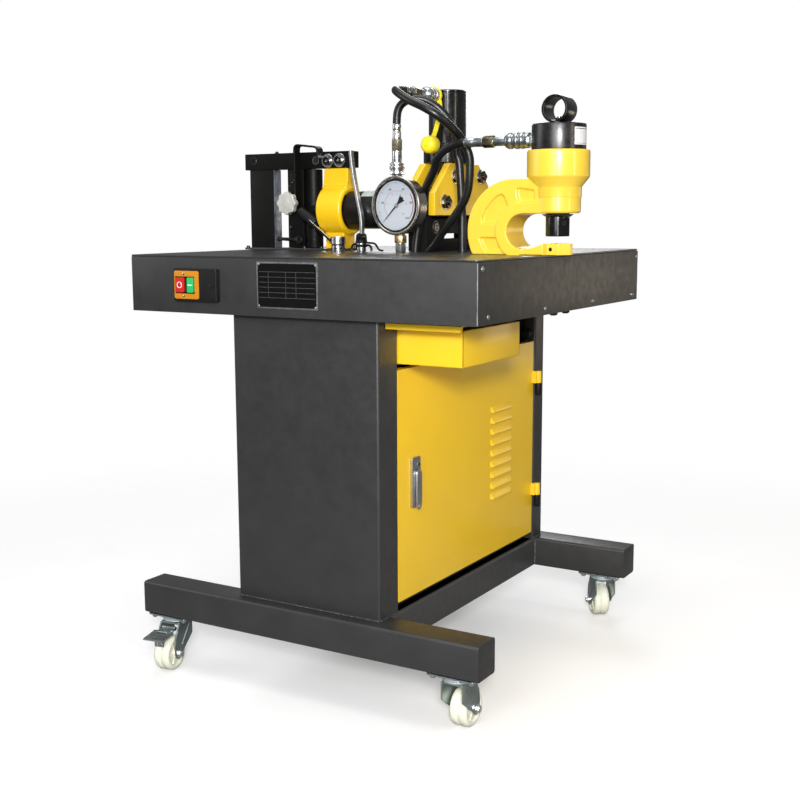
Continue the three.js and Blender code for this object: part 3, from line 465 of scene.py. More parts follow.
def cast(bms, voxel=1.4, smooth=6, cuts=()):
    """Joins overlapping solids into one skin with soft fillets, as a casting has."""
    ob = mesh_object(merge(bms))
    m = ob.modifiers.new("remesh", "REMESH")
    m.mode = "VOXEL"
    m.voxel_size = voxel
    m.adaptivity = 0
    s = ob.modifiers.new("smooth", "SMOOTH")
    s.factor = 0.5
    s.iterations = smooth
    out = evaluated(ob)
    drop(ob)
    if cuts:
        out = boolean(out, cuts)
    return out


class Piece:
    def __init__(self, name, body, nodes, M=None, sharp=32.0):
        self.name, self.body, self.nodes, self.sharp = name, body, nodes, sharp
        self.M = M if M is not None else M0
        self.mats, self.parts = [], []

    def add(self, bm, mat, M=None):
        if mat not in self.mats:
            self.mats.append(mat)
        i = self.mats.index(mat)
        for f in bm.faces:
            f.material_index = i
        bm.transform(M if M is not None else self.M)
        self.parts.append(bm)
        return self

    def box(self, x0, x1, y0, y1, z0, z1, mat, bev=0.6, seg=2):
        return self.add(bevel(bm_box(x0, x1, y0, y1, z0, z1), bev, seg), mat)

    def cyl(self, axis, r, a, b, p, q, mat, bev=0.5, seg=40):
        return self.add(bevel(bm_cyl(axis, r, a, b, p, q, seg), bev, 2), mat)

    def lathe(self, axis, profile, p, q, mat, seg=56, bev=0.35):
        return self.add(bevel(bm_lathe(axis, profile, p, q, seg), bev, 2), mat)

    def prism(self, points, axis, a, b, mat, bev=0.6, seg=2):
        return self.add(bevel(bm_prism(points, axis, a, b), bev, seg), mat)

    def tube(self, points, r, mat, seg=12, **kw):
        return self.add(bm_tube(points, r, seg, **kw), mat)

    def build(self):
        total = merge(self.parts)
        me = bpy.data.meshes.new(self.name)
        total.to_mesh(me)
        total.free()
        for m in self.mats:
            me.materials.append(MATS[m])
        me.polygons.foreach_set("use_smooth", [True] * len(me.polygons))
        me.set_sharp_from_angle(angle=math.radians(self.sharp))
        ob = bpy.data.objects.new(self.name, me)
        bpy.context.scene.collection.objects.link(ob)
        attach(ob, self.body)
        if self.nodes:
            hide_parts(*self.nodes)
        return ob


def noise1(i, k=12.9898):
    v = math.sin(i * k) * 43758.5453
    return v - math.floor(v)


def weld(P, a, b, r=1.6, mat="grey", step=2.4):
    """A ripply bead from a to b."""
    A, B = Vector(a), Vector(b)
    n = max(4, int((B - A).length / step))
    pts, radii = [], []
    for i in range(2 * n + 1):
        t = i / (2 * n)
        pts.append(A.lerp(B, t))
        radii.append(r * (1.12 if i % 2 else 0.86) * (0.92 + 0.16 * noise1(i)))
    radii[0] = radii[-1] = r * 0.5
    P.tube(pts, r, mat, seg=8, radii=radii)


def hexbolt(P, axis, x, p, q, out, mat, r=8.0, h=6.0, washer=None, turn=0.0, wmat=None, socket=False):
    """A bolt head standing from the plane at x along the axis, towards out (+1 or -1)."""
    s = out
    z0 = x
    if washer:
        a, b = sorted((z0, z0 + s * 1.8))
        P.cyl(axis, washer, a, b, p, q, wmat or mat, 0.4, 36)
        z0 += s * 1.8
    a, b = sorted((z0, z0 + s * h))
    if socket:
        prof = [(0, 0), (r, 0), (r, h), (r * 0.55, h), (r * 0.55, h * 0.35), (0, h * 0.35)]
        P.lathe(axis, [(rr, z0 + s * hh) for rr, hh in prof], p, q, mat, 32, 0.4)
        return
    pts = [(u + p, v + q) for u, v in ngon(0, 0, r, 6, turn)]
    P.prism(pts, axis, a, b, mat, 0.7, 2)
    P.lathe(axis, [(0, z0 + s * h), (r * 0.62, z0 + s * h), (r * 0.55, z0 + s * (h + 0.5)), (0, z0 + s * (h + 0.5))], p, q, mat, 28, 0.1)


# -------------------------------------------------------------------- hoses
HOSE_D = 0.015
ROUTES = {
    "hose_gauge": [(22.3, -37, 232.8), (22.8, -37, 242), (24.5, -37, 254), (29.2, -36, 264), (36.4, -34, 270.5),
        (46, -31, 274.5), (59, -26, 276.3), (75.5, -18, 272), (94.9, -10, 258.1), (110.6, 0, 237.7),
        (120.3, 8, 210.5), (119.6, 13, 176.6), (123.3, 15, 165), (126.1, 16, 133.3), (127.9, 17, 95.8),
        (129.6, 17, 58), (130, 17, 10), (130, 17, -30)],
    "hose_cutter": [(44, -47.6, 290), (44, -56, 290), (44.6, -70, 289.3), (48.5, -84, 287), (61, -95, 280.6),
        (88.3, -106, 266.7), (120.1, -110, 252.9), (142.1, -104, 239.4), (156.4, -84, 222.8), (162.4, -60, 206.5),
        (170.9, -47, 185.9), (176, -43, 166.9), (175.7, -41.5, 149), (174, -40, 131), (169.8, -37, 113.1),
        (161.7, -34, 95), (149.6, -31, 78.6), (135.9, -29, 62.1), (119.4, -26, 45.4), (104, -20, 30),
        (88, -13.5, 13.6), (73, -10.3, 1), (66, -9.5, -9), (61.8, -9, -19), (60, -9, -30)],
    "hose_punch": [(179.4, -69, 192), (172, -69, 192), (165, -69, 191.2), (156.5, -68, 188.6), (136.4, -65, 180.2),
        (118.9, -60, 165.9), (109.1, -50, 150.3), (92.2, -37, 132.6), (73.4, -20, 114.7), (67, -14, 95),
        (59, -11, 76), (52.5, -9, 52), (48, -8.2, 28), (45, -8, 8), (44, -8, -14), (44, -8, -30)],
}


def catmull(points, per=6):
    """Centripetal Catmull-Rom line through the points."""
    P = [Vector(p) for p in points]
    P = [P[0] * 2 - P[1]] + P + [P[-1] * 2 - P[-2]]
    out = []
    for i in range(1, len(P) - 2):
        p0, p1, p2, p3 = P[i - 1 : i + 3]
        t0 = 0.0
        t1 = t0 + math.sqrt((p1 - p0).length)
        t2 = t1 + math.sqrt((p2 - p1).length)
        t3 = t2 + math.sqrt((p3 - p2).length)
        for k in range(per):
            t = t1 + (t2 - t1) * k / per
            a1 = (t1 - t) / (t1 - t0) * p0 + (t - t0) / (t1 - t0) * p1
            a2 = (t2 - t) / (t2 - t1) * p1 + (t - t1) / (t2 - t1) * p2
            a3 = (t3 - t) / (t3 - t2) * p2 + (t - t2) / (t3 - t2) * p3
            b1 = (t2 - t) / (t2 - t0) * a1 + (t - t0) / (t2 - t0) * a2
            b2 = (t3 - t) / (t3 - t1) * a2 + (t - t1) / (t3 - t1) * a3
            out.append((t2 - t) / (t2 - t1) * b1 + (t - t1) / (t2 - t1) * b2)
    out.append(P[-2])
    return out


for hose, route in ROUTES.items():
    line = [M0 @ Vector((x, y, z + T)) for x, y, z in catmull(route, 4)]
    cu = bpy.data.curves.new(hose + "_look", "CURVE")
    cu.dimensions = "3D"
    cu.bevel_depth = HOSE_D / 2
    cu.bevel_resolution = 5
    cu.use_fill_caps = True
    sp = cu.splines.new("POLY")
    sp.points.add(len(line) - 1)
    for pt, v in zip(sp.points, line):
        pt.co = (*v, 1)
    sp.use_smooth = True
    cu.materials.append(MATS["rubber"])
    ob = bpy.data.objects.new(hose + "_look", cu)
    bpy.context.scene.collection.objects.link(ob)
    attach(ob, "machine")
    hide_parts(hose)


# ------------------------------------------------------------------- table
HX, HY = 350.0, 347.0


def table():
    p = Piece("table_top_look", "machine", ["table_top"])
    plate = bevel(bm_prism(rounded(-HX, HX, -HY, HY, 6, 6), "z", T - 3, T), 0.7, 3)
    slant = [(58, -19), (86, -20.5), (86, -0.5), (58, -1)]
    holes = [bm_cyl("z", 9.8, T - 8, T + 5, 130, 17, 40), bm_cyl("z", 9.8, T - 8, T + 5, 44, -8, 40),
             bm_prism(arc(76, -10.6, 9.6, -90, 90, 12) + arc(67.5, -9.6, 9.6, 90, 270, 12), "z", T - 8, T + 5)]
    p.add(boolean(plate, holes), "table")
    for cx, cy in ((130, 17), (44, -8)):
        p.add(bm_lathe("z", [(9.7, T - 4), (9.7, T + 0.6), (8.4, T + 1.0), (8.0, T), (8.0, T - 3), (8.4, T - 4), (9.7, T - 4)], cx, cy, 40), "rubber")
    p.build()

    p = Piece("table_apron_look", "machine", ["table_apron"])
    z0, z1 = T - 100, T - 3.3
    w, r = 2.5, 4.5
    outer = [(HX - 3, -HY)] + arc(-HX + r, -HY + r, r, 270, 180, 6) + arc(-HX + r, HY - r, r, 180, 90, 6) + [(HX - 3, HY)]
    inner = [(HX - 3, HY - w)] + arc(-HX + r, HY - r, r - w, 90, 180, 6) + arc(-HX + r, -HY + r, r - w, 180, 270, 6) + [(HX - 3, -HY + w)]
    p.prism(outer + inner, "z", z0, z1, "grey", 0.5)
    # inner stiffeners under the plate
    for y in (-170, 170):
        p.box(-HX + 3, -HX + 6, y - 15, y + 15, z0 + 20, z1, "grey", 0.4)
    for s in (-1, 1):
        weld(p, (-HX + 4, s * (HY - 3.5), z0 + 3), (-HX + 4, s * (HY - 3.5), z1 - 2), 1.4)
    p.build()

    p = Piece("apron_side_cover_look", "machine", ["apron_side_cover"])
    p.box(HX - 2.5, HX, -HY + 0.4, HY - 0.4, z0 + 0.2, z1 - 0.6, "grey", 0.7, 3)
    p.box(HX - 20, HX - 1.2, -HY + 10, HY - 10, z0 + 0.2, z0 + 2.7, "grey", 0.5)
    # cut edge of the sheet, where the paint is thin; the lighter strip is also a painted highlight along the corner
    p.box(HX - 2.2, HX - 0.3, -HY + 0.2, -HY + 1.4, z0 + 1.5, z1 - 1.5, "worn_edge_and_painted_highlight", 0.25)
    for y, t in ((-332.2, -13.3), (-312.2, -88.1), (-98.5, -88.9), (112.7, -89.3), (320.6, -89.1), (339.7, -15.6)):
        p.lathe("x", [(0, HX - 0.6), (4.4, HX - 0.6), (4.2, HX + 0.7), (3.0, HX + 1.7), (1.4, HX + 2.1), (0, HX + 2.2)], y, T + t, "zinc", 24, 0.0)
    # two bolt ends that hang under the edge
    for y in (-46.7, 5.6):
        p.cyl("z", 5.0, z0 - 4.5, z0 + 0.5, HX - 8, y, "black_oxide", 0.4, 20)
        p.prism(ngon(HX - 8, y, 7.5, 6, 10), "z", z0 - 3.2, z0 + 0.3, "black_oxide", 0.5)
    p.build()


table()


# ------------------------------------------------------------------- cabinet
CX0, CX1, CY0, CY1 = -137.0, 159.0, -326.0, 325.0
Z0, Z1 = 160.3, 761.7


def cabinet():
    s, r = 2.5, 4.0
    p = Piece("cabinet_front_panel_look", "machine", ["cabinet_front_panel"])
    out = [(CX1 - 24, -264)] + arc(CX1 - r, -264 - r, r, 90, 0, 5) + arc(CX1 - r, CY0 + r, r, 0, -90, 5) + arc(CX0 + r, CY0 + r, r, 270, 180, 5) + [(CX0, -264)]
    inn = [(CX0 + s, -264)] + arc(CX0 + r, CY0 + r, r - s, 180, 270, 5) + arc(CX1 - r, CY0 + r, r - s, -90, 0, 5) + arc(CX1 - r, -264 - r, r - s, 0, 90, 5) + [(CX1 - 24, -264 - s)]
    p.prism(out + inn, "z", Z0, Z1, "grey", 0.4)
    p.box(CX0 + 7, CX1 - 9, CY0 + 1, -45, 585, 588, "grey", 0.5)
    weld(p, (CX0 + 4, CY0 - 0.2, Z0 + 1.2), (CX1 - 3, CY0 - 0.2, Z0 + 1.2), 1.5)
    weld(p, (CX1 + 0.2, CY0 + 3, Z0 + 1.2), (CX1 + 0.2, -266, Z0 + 1.2), 1.5)
    p.build()

    p = Piece("cabinet_rear_panel_look", "machine", ["cabinet_rear_panel"])
    y = 282
    out = [(CX1 - 24, y)] + arc(CX1 - r, y + r, r, -90, 0, 5) + arc(CX1 - r, CY1 - r, r, 0, 90, 5) + arc(CX0 + r, CY1 - r, r, 90, 180, 5) + [(CX0, y - 19)]
    inn = [(CX0 + s, y - 19)] + arc(CX0 + r, CY1 - r, r - s, 180, 90, 5) + arc(CX1 - r, CY1 - r, r - s, 90, 0, 5) + arc(CX1 - r, y + r, r - s, 0, -90, 5) + [(CX1 - 24, y + s)]
    p.prism(out + inn, "z", Z0, Z1, "grey", 0.4)
    for a in (491, 256):
        p.lathe("z", [(0, a - 25), (5.2, a - 25), (6, a - 24.2), (6, a - 1.0), (5.4, a - 0.4), (3.2, a - 0.4), (3.2, a + 17), (0, a + 17)], 166, 285.3, "black_oxide", 32, 0.2)
        p.box(CX1 - 0.5, 166, 286.5, 291, a - 25, a - 0.3, "black_oxide", 0.6)
        weld(p, (CX1 + 0.6, 292, a - 24), (CX1 + 0.6, 292, a - 2), 1.2, "black_oxide", 1.8)
    # ribbed rubber stop on the inner flange, beside the drawer
    p.lathe("y", [(0, 283)] + [x for k in range(4) for x in ((9.6, 282.6 - 5 * k), (9.6, 279.8 - 5 * k), (8.4, 279.2 - 5 * k), (8.4, 278.2 - 5 * k))] + [(7.4, 262.2), (0, 262)], 145, 592, "black_plastic", 36, 0.0)
    weld(p, (CX1 + 0.2, 284, Z0 + 1.2), (CX1 + 0.2, CY1 - 3, Z0 + 1.2), 1.5)
    weld(p, (CX0 + 4, CY1 + 0.2, Z0 + 1.2), (CX1 - 3, CY1 + 0.2, Z0 + 1.2), 1.5)
    p.build()

    p = Piece("cabinet_left_panel_look", "machine", ["cabinet_left_panel"])
    p.box(CX0 + s + 0.3, CX0 + 2 * s + 0.3, CY0 + s + 0.3, CY1 - s - 0.3, Z0, Z1, "grey", 0.5)
    for y in (-300, 300):
        for z in (200, 330, 460, 590, 720):
            p.lathe("x", [(0, CX0 + s + 0.4), (4.4, CX0 + s + 0.4), (4.2, CX0 + 1.3), (2.6, CX0 + 0.5), (0, CX0 + 0.3)], y, z, "zinc", 20, 0.0)
    p.build()


cabinet()


def base():
    p = Piece("base_frame_look", "machine", ["base_frame"])
    z0, z1 = 100.0, 160.0
    for y0, y1 in ((-349, -289), (295, 355)):
        p.add(bevel(bm_prism(rounded(y0, y1, z0, z1, 5, 5), "x", -345, 355), 0.8, 2, 40), "grey")
        for x in (-345, 355):
            s = -1 if x < 0 else 1
            ring = rounded(y0 + 2.2, y1 - 2.2, z0 + 2.2, z1 - 2.2, 4, 4)
            p.tube([(x - s * 1.2, a, b) for a, b in ring], 1.1, "grey", seg=6, closed=True)
    for x0 in (-137, 109):
        p.add(bevel(bm_prism(rounded(x0, x0 + 50, z0, z1, 5, 5), "y", -290, 296), 0.3, 1, 60), "grey")
        for x in (x0, x0 + 50):
            weld(p, (x, -288.6, z0 + 4), (x, -288.6, z1 - 4), 1.8)
            weld(p, (x, 294.6, z0 + 4), (x, 294.6, z1 - 4), 1.8)
        for y in (-288.6, 294.6):
            weld(p, (x0 + 3, y, z1 - 0.4), (x0 + 47, y, z1 - 0.4), 1.6)
    p.box(CX0 + 3, CX1 - 3, -290, 296, 157, 160, "grey", 0.4)
    # upturned sill behind the lower edge of the door
    p.box(135, 137.5, -262, 279, 160.2, 175.2, "grey", 0.4)
    for y in (-319, 325):
        p.lathe("z", [(6.4, 99.7), (6.4, 100.4), (5.4, 100.6), (5.4, 99.9), (6.4, 99.7)], 0, y, "dark", 24, 0.0)
    p.build()


base()


# ------------------------------------------------------------ door and drawer
def door():
    x0, x1, y0, y1, z0, z1 = 139.0, 157.0, -262.0, 279.0, 176.0, 577.0
    w = 2.0
    p = Piece("door_panel_look", "door", ["door_panel"])
    r = 4.0
    face = bevel(bm_prism(rounded(y0, y1, z0, z1, 1.6, 3), "x", x1 - w, x1), 0.9, 3)
    p.add(face, "yellow")
    p.box(x0, x1 - 1, y0, y0 + w, z0 + 0.4, z1 - 0.4, "yellow", 0.5)
    p.box(x0, x1 - 1, y1 - w, y1, z0 + 0.4, z1 - 0.4, "yellow", 0.5)
    p.box(x0, x1 - 1, y0 + 0.4, y1 - 0.4, z0, z0 + w, "yellow", 0.5)
    p.box(x0, x1 - 1, y0 + 0.4, y1 - 0.4, z1 - w, z1, "yellow", 0.5)
    # pressed louvers, open below
    for i in range(9):
        z = 455.5 - i * 21.4
        prof = [(x1 - 0.6, z + 13.5), (x1 + 1.6, z + 9.5), (x1 + 3.7, z + 5), (x1 + 4.9, z + 1.2), (x1 + 5.0, z), (x1 + 4.2, z - 0.2), (x1 - 0.4, z + 0.6)]
        b = bm_prism(prof, "y", 85, 177)
        # close the ends towards the sheet
        for v in b.verts:
            d = min(v.co.y - 85, 177 - v.co.y)
            if d < 0.01 and v.co.x > x1:
                v.co.y += 7 * (1 if v.co.y < 131 else -1) * min(1, (v.co.x - x1) / 5)
        p.add(bevel(b, 0.6, 2, 25), "yellow")
        # a dark strip under each louvre: painted shade in its opening
        p.box(x1 - 0.5, x1 + 2.6, 92, 170, z - 0.25, z + 0.35, "dark", 0.0)
    for a, b in ((491, 516), (256, 281)):
        p.lathe("z", [(3.6, a), (5.6, a), (6.4, a + 0.8), (6.4, b - 0.8), (5.6, b), (0, b)], 166, 285, "yellow", 32, 0.1)
        p.box(x1 - 1, 165, y1 - 5, y1 + 3, a, b, "yellow", 1.0, 3)
        weld(p, (x1 + 0.4, y1 - 5.4, a + 1), (x1 + 0.4, y1 - 5.4, b - 1), 1.0, "yellow", 1.6)
    p.build()

    p = Piece("lock_plate_look", "door", ["lock_plate"])
    p.prism(rounded(-221.5, -193.5, 334, 421.5, 2.5, 4), "x", x1 + 0.3, x1 + 5.0, "case_alu", 0.9, 3)
    p.lathe("x", [(9.8, x1 + 4.6), (9.8, x1 + 5.3), (8.6, x1 + 5.4), (8.4, x1 + 4.6), (9.8, x1 + 4.6)], -204.5, 392, "case_alu", 36, 0.1)
    p.cyl("x", 3.4, x1 + 4, x1 + 5.4, -200, 408, "dark", 0.2, 28)
    p.cyl("x", 4.4, x1 + 4, x1 + 5.2, -200, 408, "zinc", 0.2, 28)
    p.build()

    p = Piece("lock_handle_look", "lock_handle", ["lock_handle"])
    out = [(-213, 392), (-213, 346), (-212, 337), (-209.5, 331.2), (-204.5, 329), (-199.5, 331.2), (-197, 337), (-196, 346), (-196, 392)] + arc(-204.5, 392, 8.5, 0, 180, 12)[1:-1]
    p.prism(out, "x", x1 + 5.7, x1 + 9.6, "case_alu", 1.2, 4)
    p.lathe("x", [(0, x1 + 5.4), (7.5, x1 + 5.4), (7.5, x1 + 9.8), (6.4, x1 + 10.2), (0, x1 + 10.2)], -204.5, 392, "case_alu", 36, 0.3)
    p.prism(rounded(-208.5, -200.5, 332.5, 338.5, 2, 4), "x", x1 + 9.2, x1 + 10.4, "chrome_zinc", 0.4)
    p.cyl("x", 4.3, x0 - 8, x1 + 7, -204.5, 392, "zinc", 0.3, 28)
    p.prism([(-213, 386), (-196, 386), (-197, 449), (-212, 449)], "x", x0 - 8, x0 - 4.5, "zinc", 0.6)
    p.prism(ngon(-204.5, 392, 8.2, 6), "x", x0 - 8, x0 - 2, "zinc", 0.6)
    p.build()

    p = Piece("drawer_tray_look", "drawer", ["drawer_tray"])
    dx0, dx1, dy0, dy1, dz0, dz1, t = -60.0, 280.0, -261.5, -50.0, 588.3, 648.0, 1.6
    p.prism(rounded(dx0, dx1, dy0, dy1, 2, 4), "z", dz0, dz0 + t, "yellow", 0.5)
    for a in ((dx0, dx1, dy0, dy0 + t), (dx0, dx1, dy1 - t, dy1), (dx0, dx0 + t, dy0, dy1), (dx1 - t, dx1, dy0, dy1)):
        p.box(a[0], a[1], a[2], a[3], dz0 + 0.3, dz1, "yellow", 0.5, 2)
    # rolled hems
    for a, b in (((dx0 + 1, dy0 + 0.8), (dx1 - 1, dy0 + 0.8)), ((dx0 + 1, dy1 - 0.8), (dx1 - 1, dy1 - 0.8)), ((dx1 - 0.8, dy0 + 1), (dx1 - 0.8, dy1 - 1))):
        p.tube([(a[0], a[1], dz1 - 0.6), (b[0], b[1], dz1 - 0.6)], 0.95, "yellow", seg=10)
    p.box(160.2, dx1 - 1, dy0 - 1, dy0 + 0.7, dz1 - 4, 659.4, "yellow", 0.4)
    p.box(160.2, 298.6, -304.6, dy0 + 0.8, 658.3, 659.9, "yellow", 0.5)
    p.box(160.2, 298.6, -305, -303.4, 650, 659.6, "yellow", 0.5)
    p.build()


door()


# --------------------------------------------------------- switch, nameplate
def front_face():
    f = -HY - 0.3
    p = Piece("switch_box_look", "machine", ["switch_box"])
    d = 11.0
    bay = (-235.8, -191.8, 699.7, 729.2)
    body = bevel(bm_box(-241, -145.5, f - d, f, 686.5, 743), 2.6, 4)
    p.add(boolean(body, [bm_box(bay[0], bay[1], f - d - 3, f - 3, bay[2], bay[3])]), "black_plastic")
    fr = boolean(bevel(bm_prism(rounded(-237.5, -183, 690.5, 739, 3.4, 5), "y", f - d - 1.6, f - d + 0.4), 0.5, 2),
                 [bevel(bm_box(bay[0], bay[1], f - 22, f - 5, bay[2], bay[3]), 0.6, 1)])
    p.add(fr, "orange_plastic")
    p.prism(rounded(-180.5, -148.5, 690.5, 739, 3, 4), "y", f - d - 0.8, f - d + 0.5, "black_plastic", 0.5)
    for x, z in ((-215.2, 733.6), (-215.2, 695.4), (-158, 714.8)):
        p.lathe("y", [(0, f - d - 1.3), (2.7, f - d - 1.3), (2.5, f - d - 2.4), (1.4, f - d - 2.8), (0, f - d - 2.8)], x, z, "dark" if x > -200 else "chrome_zinc", 20, 0.0)
        # dark bar across each screw head: painted shade of its slot
        p.box(x - 2.0, x + 2.0, f - d - 2.95, f - d - 2.4, z - 0.35, z + 0.35, "dark", 0.0)
    p.build()
    for name, body_name, (a, b), mat in (("stop_button", "stop_button", (-234.8, -216.8), "red_plastic"), ("start_button", "start_button", (-209.5, -195.5), "green_plastic")):
        p = Piece(name + "_look", body_name, [name])
        p.prism(rounded(a, b, 701.4, 727.6, 1.8, 4), "y", f - d - 1.7, f - d + 4.4, mat, 0.7, 3)
        c = (a + b) / 2
        if name == "stop_button":
            ring = [(u, f - d - 1.8, v) for u, v in arc(c, 714.5, 5.0, 0, 360, 28)[:-1]]
            p.tube(ring, 0.65, "white_print", seg=6, closed=True)
        else:
            p.prism(rounded(c - 5.0, c + 5.0, 713.7, 715.3, 0.5, 2), "y", f - d - 2.1, f - d - 1.4, "white_print", 0.15)
        p.build()

    p = Piece("nameplate_look", "machine", ["nameplate"])
    p.prism(rounded(-66, 58, 679, 757, 1.6, 4), "y", f - 1.0, f, "plate_metal", 0.3)
    n = 4.6
    x0, x1, z0, z1 = -63.2, 55.2, 681.8, 754.2
    field = [(x0 + n, z0), (x1 - n, z0), (x1 - n, z0 + 1.4), (x1, z0 + n), (x1, z1 - n), (x1 - 1.4, z1 - n), (x1 - n, z1), (x0 + n, z1), (x0 + n, z1 - 1.4), (x0, z1 - n), (x0, z0 + n), (x0 + 1.4, z0 + n)]
    p.prism(field, "y", f - 1.3, f - 0.9, "plate_black", 0.0)
    for z in (740.4, 731.7, 723.0, 714.6, 706.0, 697.4):
        p.box(x0 + 2.4, x1 - 2.4, f - 1.42, f - 1.25, z - 0.35, z + 0.35, "plate_line", 0.0)
    for x in (-41.5, -5.7, 15.0):
        p.box(x - 0.35, x + 0.35, f - 1.42, f - 1.25, 697.4, 740.4, "plate_line", 0.0)
    for x in (-61.6, 53.6):
        for z in (683.4, 752.6):
            p.lathe("y", [(0, f - 1), (1.7, f - 1), (1.5, f - 1.8), (0.8, f - 2.2), (0, f - 2.3)], x, z, "zinc", 18, 0.0)
    p.build()


front_face()


# ------------------------------------------------------------------- casters
def caster(tag, x, y, trail, pedal=False):
    TR, R, W = 28.0, 32.0, 32.0
    top = 99.7
    G = at(x, y)
    p = Piece("caster_plate_look_" + tag, "machine", ["caster_plate_" + tag], G)
    p.prism(rounded(-44, 44, -29, 29, 5, 5), "z", top - 3, top, "zinc", 0.5)
    p.lathe("z", [(0, top - 3), (26.5, top - 3), (26.8, top - 5), (24.5, top - 7.4), (16, top - 7.9), (0, top - 7.9)], 0, 0, "zinc_painted_sheen", 48, 0.3)
    for u in (-35, 35):
        for v in (-20, 20):
            p.prism(ngon(u, v, 5.8, 6, 15), "z", top - 7.6, top - 3, "zinc", 0.5)
            p.cyl("z", 3.2, top - 9.4, top - 7, u, v, "zinc", 0.3, 18)
    p.build()

    F = G @ Matrix.Rotation(math.radians(trail), 4, "Z")
    p = Piece("caster_fork_look_" + tag, "swivel_" + tag, ["caster_fork_" + tag], F)
    p.lathe("z", [(0, top - 8.3), (23.5, top - 8.3), (25.2, top - 9.4), (25.2, top - 10.8), (22, top - 12.6), (0, top - 12.6)], 0, 0, "zinc_painted_sheen", 44, 0.2)
    p.prism(rounded(-20, 24, -20.6, 20.6, 6, 5), "z", top - 15.6, top - 12.4, "zinc_dark_and_painted_shade", 0.9, 3)
    p.cyl("z", 6.5, top - 21.5, top - 15, 0, 0, "zinc", 0.8, 24)
    leg = [(-20, 86), (-20.6, 58), (-18, 55), (12, 32), (17, 27)] + arc(TR, R, 11, 225, 360, 8) + [(39.5, 44), (37, 62), (24, 86)]
    for s in (-1, 1):
        a, b = sorted((s * 18.0, s * 20.8))
        p.prism(leg, "y", a, b, "zinc_dark_and_painted_shade", 0.8, 2)
        # pressed stiffening rib
        p.tube([(-10, s * 20.9, 79), (4, s * 21.1, 62), (17, s * 20.9, 45)], 1.4, "zinc_dark_and_painted_shade", seg=8)
        hexbolt(p, "y", s * 20.8, TR, R, s, "chrome_zinc", 6.4, 4.6, 8.6)
    p.cyl("y", 3.9, -25, 25, TR, R, "zinc", 0.4, 24)
    p.build()

    p = Piece("caster_wheel_look_" + tag, "wheel_" + tag, ["caster_wheel_" + tag], F)
    w = W / 2
    half = [(4.4, w + 0.8), (8.6, w + 0.8), (9.4, w), (10.5, w - 2.2), (22, w - 2.8), (23.4, w - 0.8), (25.5, w - 0.1), (28.5, w - 0.8), (31.2, w - 3.4), (32, w - 6.2), (32, 2.6), (31.4, 1.6), (30.4, 1.0), (30.2, 0)]
    prof = half + [(r, -h) for r, h in half[::-1][1:]] + [half[0]]
    p.add(bevel(bm_lathe("y", prof, TR, R, 72), 0.2, 1, 50), "nylon")
    for s in (-1, 1):
        p.lathe("y", [(4.4, s * (w + 0.9)), (8.2, s * (w + 0.9)), (8.2, s * (w + 0.4)), (4.4, s * (w + 0.4)), (4.4, s * (w + 0.9))], TR, R, "black_oxide", 32, 0.0)
    for i in range(6):
        t = math.radians(60 * i)
        cx, cz = TR + 16.2 * math.cos(t), R + 16.2 * math.sin(t)
        for s in (-1, 1):
            a, b = sorted((s * (w - 3.2), s * (w - 1.3)))
            pts = [(cx + u * math.cos(t) - v * math.sin(t), cz + u * math.sin(t) + v * math.cos(t)) for u, v in ((-6, -1.2), (6, -1.2), (6, 1.2), (-6, 1.2))]
            p.prism(pts, "y", a, b, "nylon", 0.4)
    p.build()
    if pedal:
        p = Piece("brake_pedal_look", "brake_pedal", ["brake_pedal_" + tag], F)
        side = [(22, 75.6), (45, 74.2), (56, 73.0), (70, 71.4), (80, 70.2), (83.8, 70.4), (84.2, 72.2), (80, 73.0), (70, 74.0), (56, 75.8), (45, 77.2), (22, 78.4)]
        body = bevel(bm_prism(side, "y", -20, 20), 0.9, 2)
        neck = [bm_box(10, 44, 13.6, 30, 60, 90), bm_box(10, 44, -30, -13.6, 60, 90), bm_box(66, 70, -11, 11, 60, 90)]
        p.add(boolean(body, neck), "zinc")
        for s in (-1, 1):
            p.tube([(46, s * 19, 76.4), (60, s * 19, 74.6), (80, s * 19, 72.4)], 1.3, "zinc", seg=8)
        p.cyl("y", 4, -13.7, 13.7, 26, 77, "zinc", 0.5, 24)
        # slot with its raised edge, the slot itself a dark strip of painted shade, and the drilled plate that hangs in
        # front of the wheel
        p.box(49.4, 51.0, -10, 10, 75.4, 77.8, "zinc_painted_sheen", 0.3)
        p.box(51.2, 54.0, -9.4, 9.4, 75.0, 76.6, "dark", 0.0)
        hang = boolean(bevel(bm_box(59.2, 62.0, -9.5, 9.5, 52.8, 72.5), 0.5, 2), [bm_cyl("x", 2.5, 57, 65, q, 57.8, 20) for q in (-4.6, 4.6)])
        p.add(hang, "zinc_dark_and_painted_shade")
        for k in range(5):
            p.prism([(45.5 + 2.2 * k, 62.6), (46.6 + 2.2 * k, 61.9), (47.7 + 2.2 * k, 62.6), (47.7 + 2.2 * k, 74.5), (45.5 + 2.2 * k, 74.5)], "y", -9, 9, "zinc", 0.2, 1)
        p.build()


for args in (("front_left", -294, -319, 279, True), ("front_right", 303, -319, 90), ("rear_right", 300, 325, 128), ("rear_left", -299, 325, 200)):
    caster(*args)


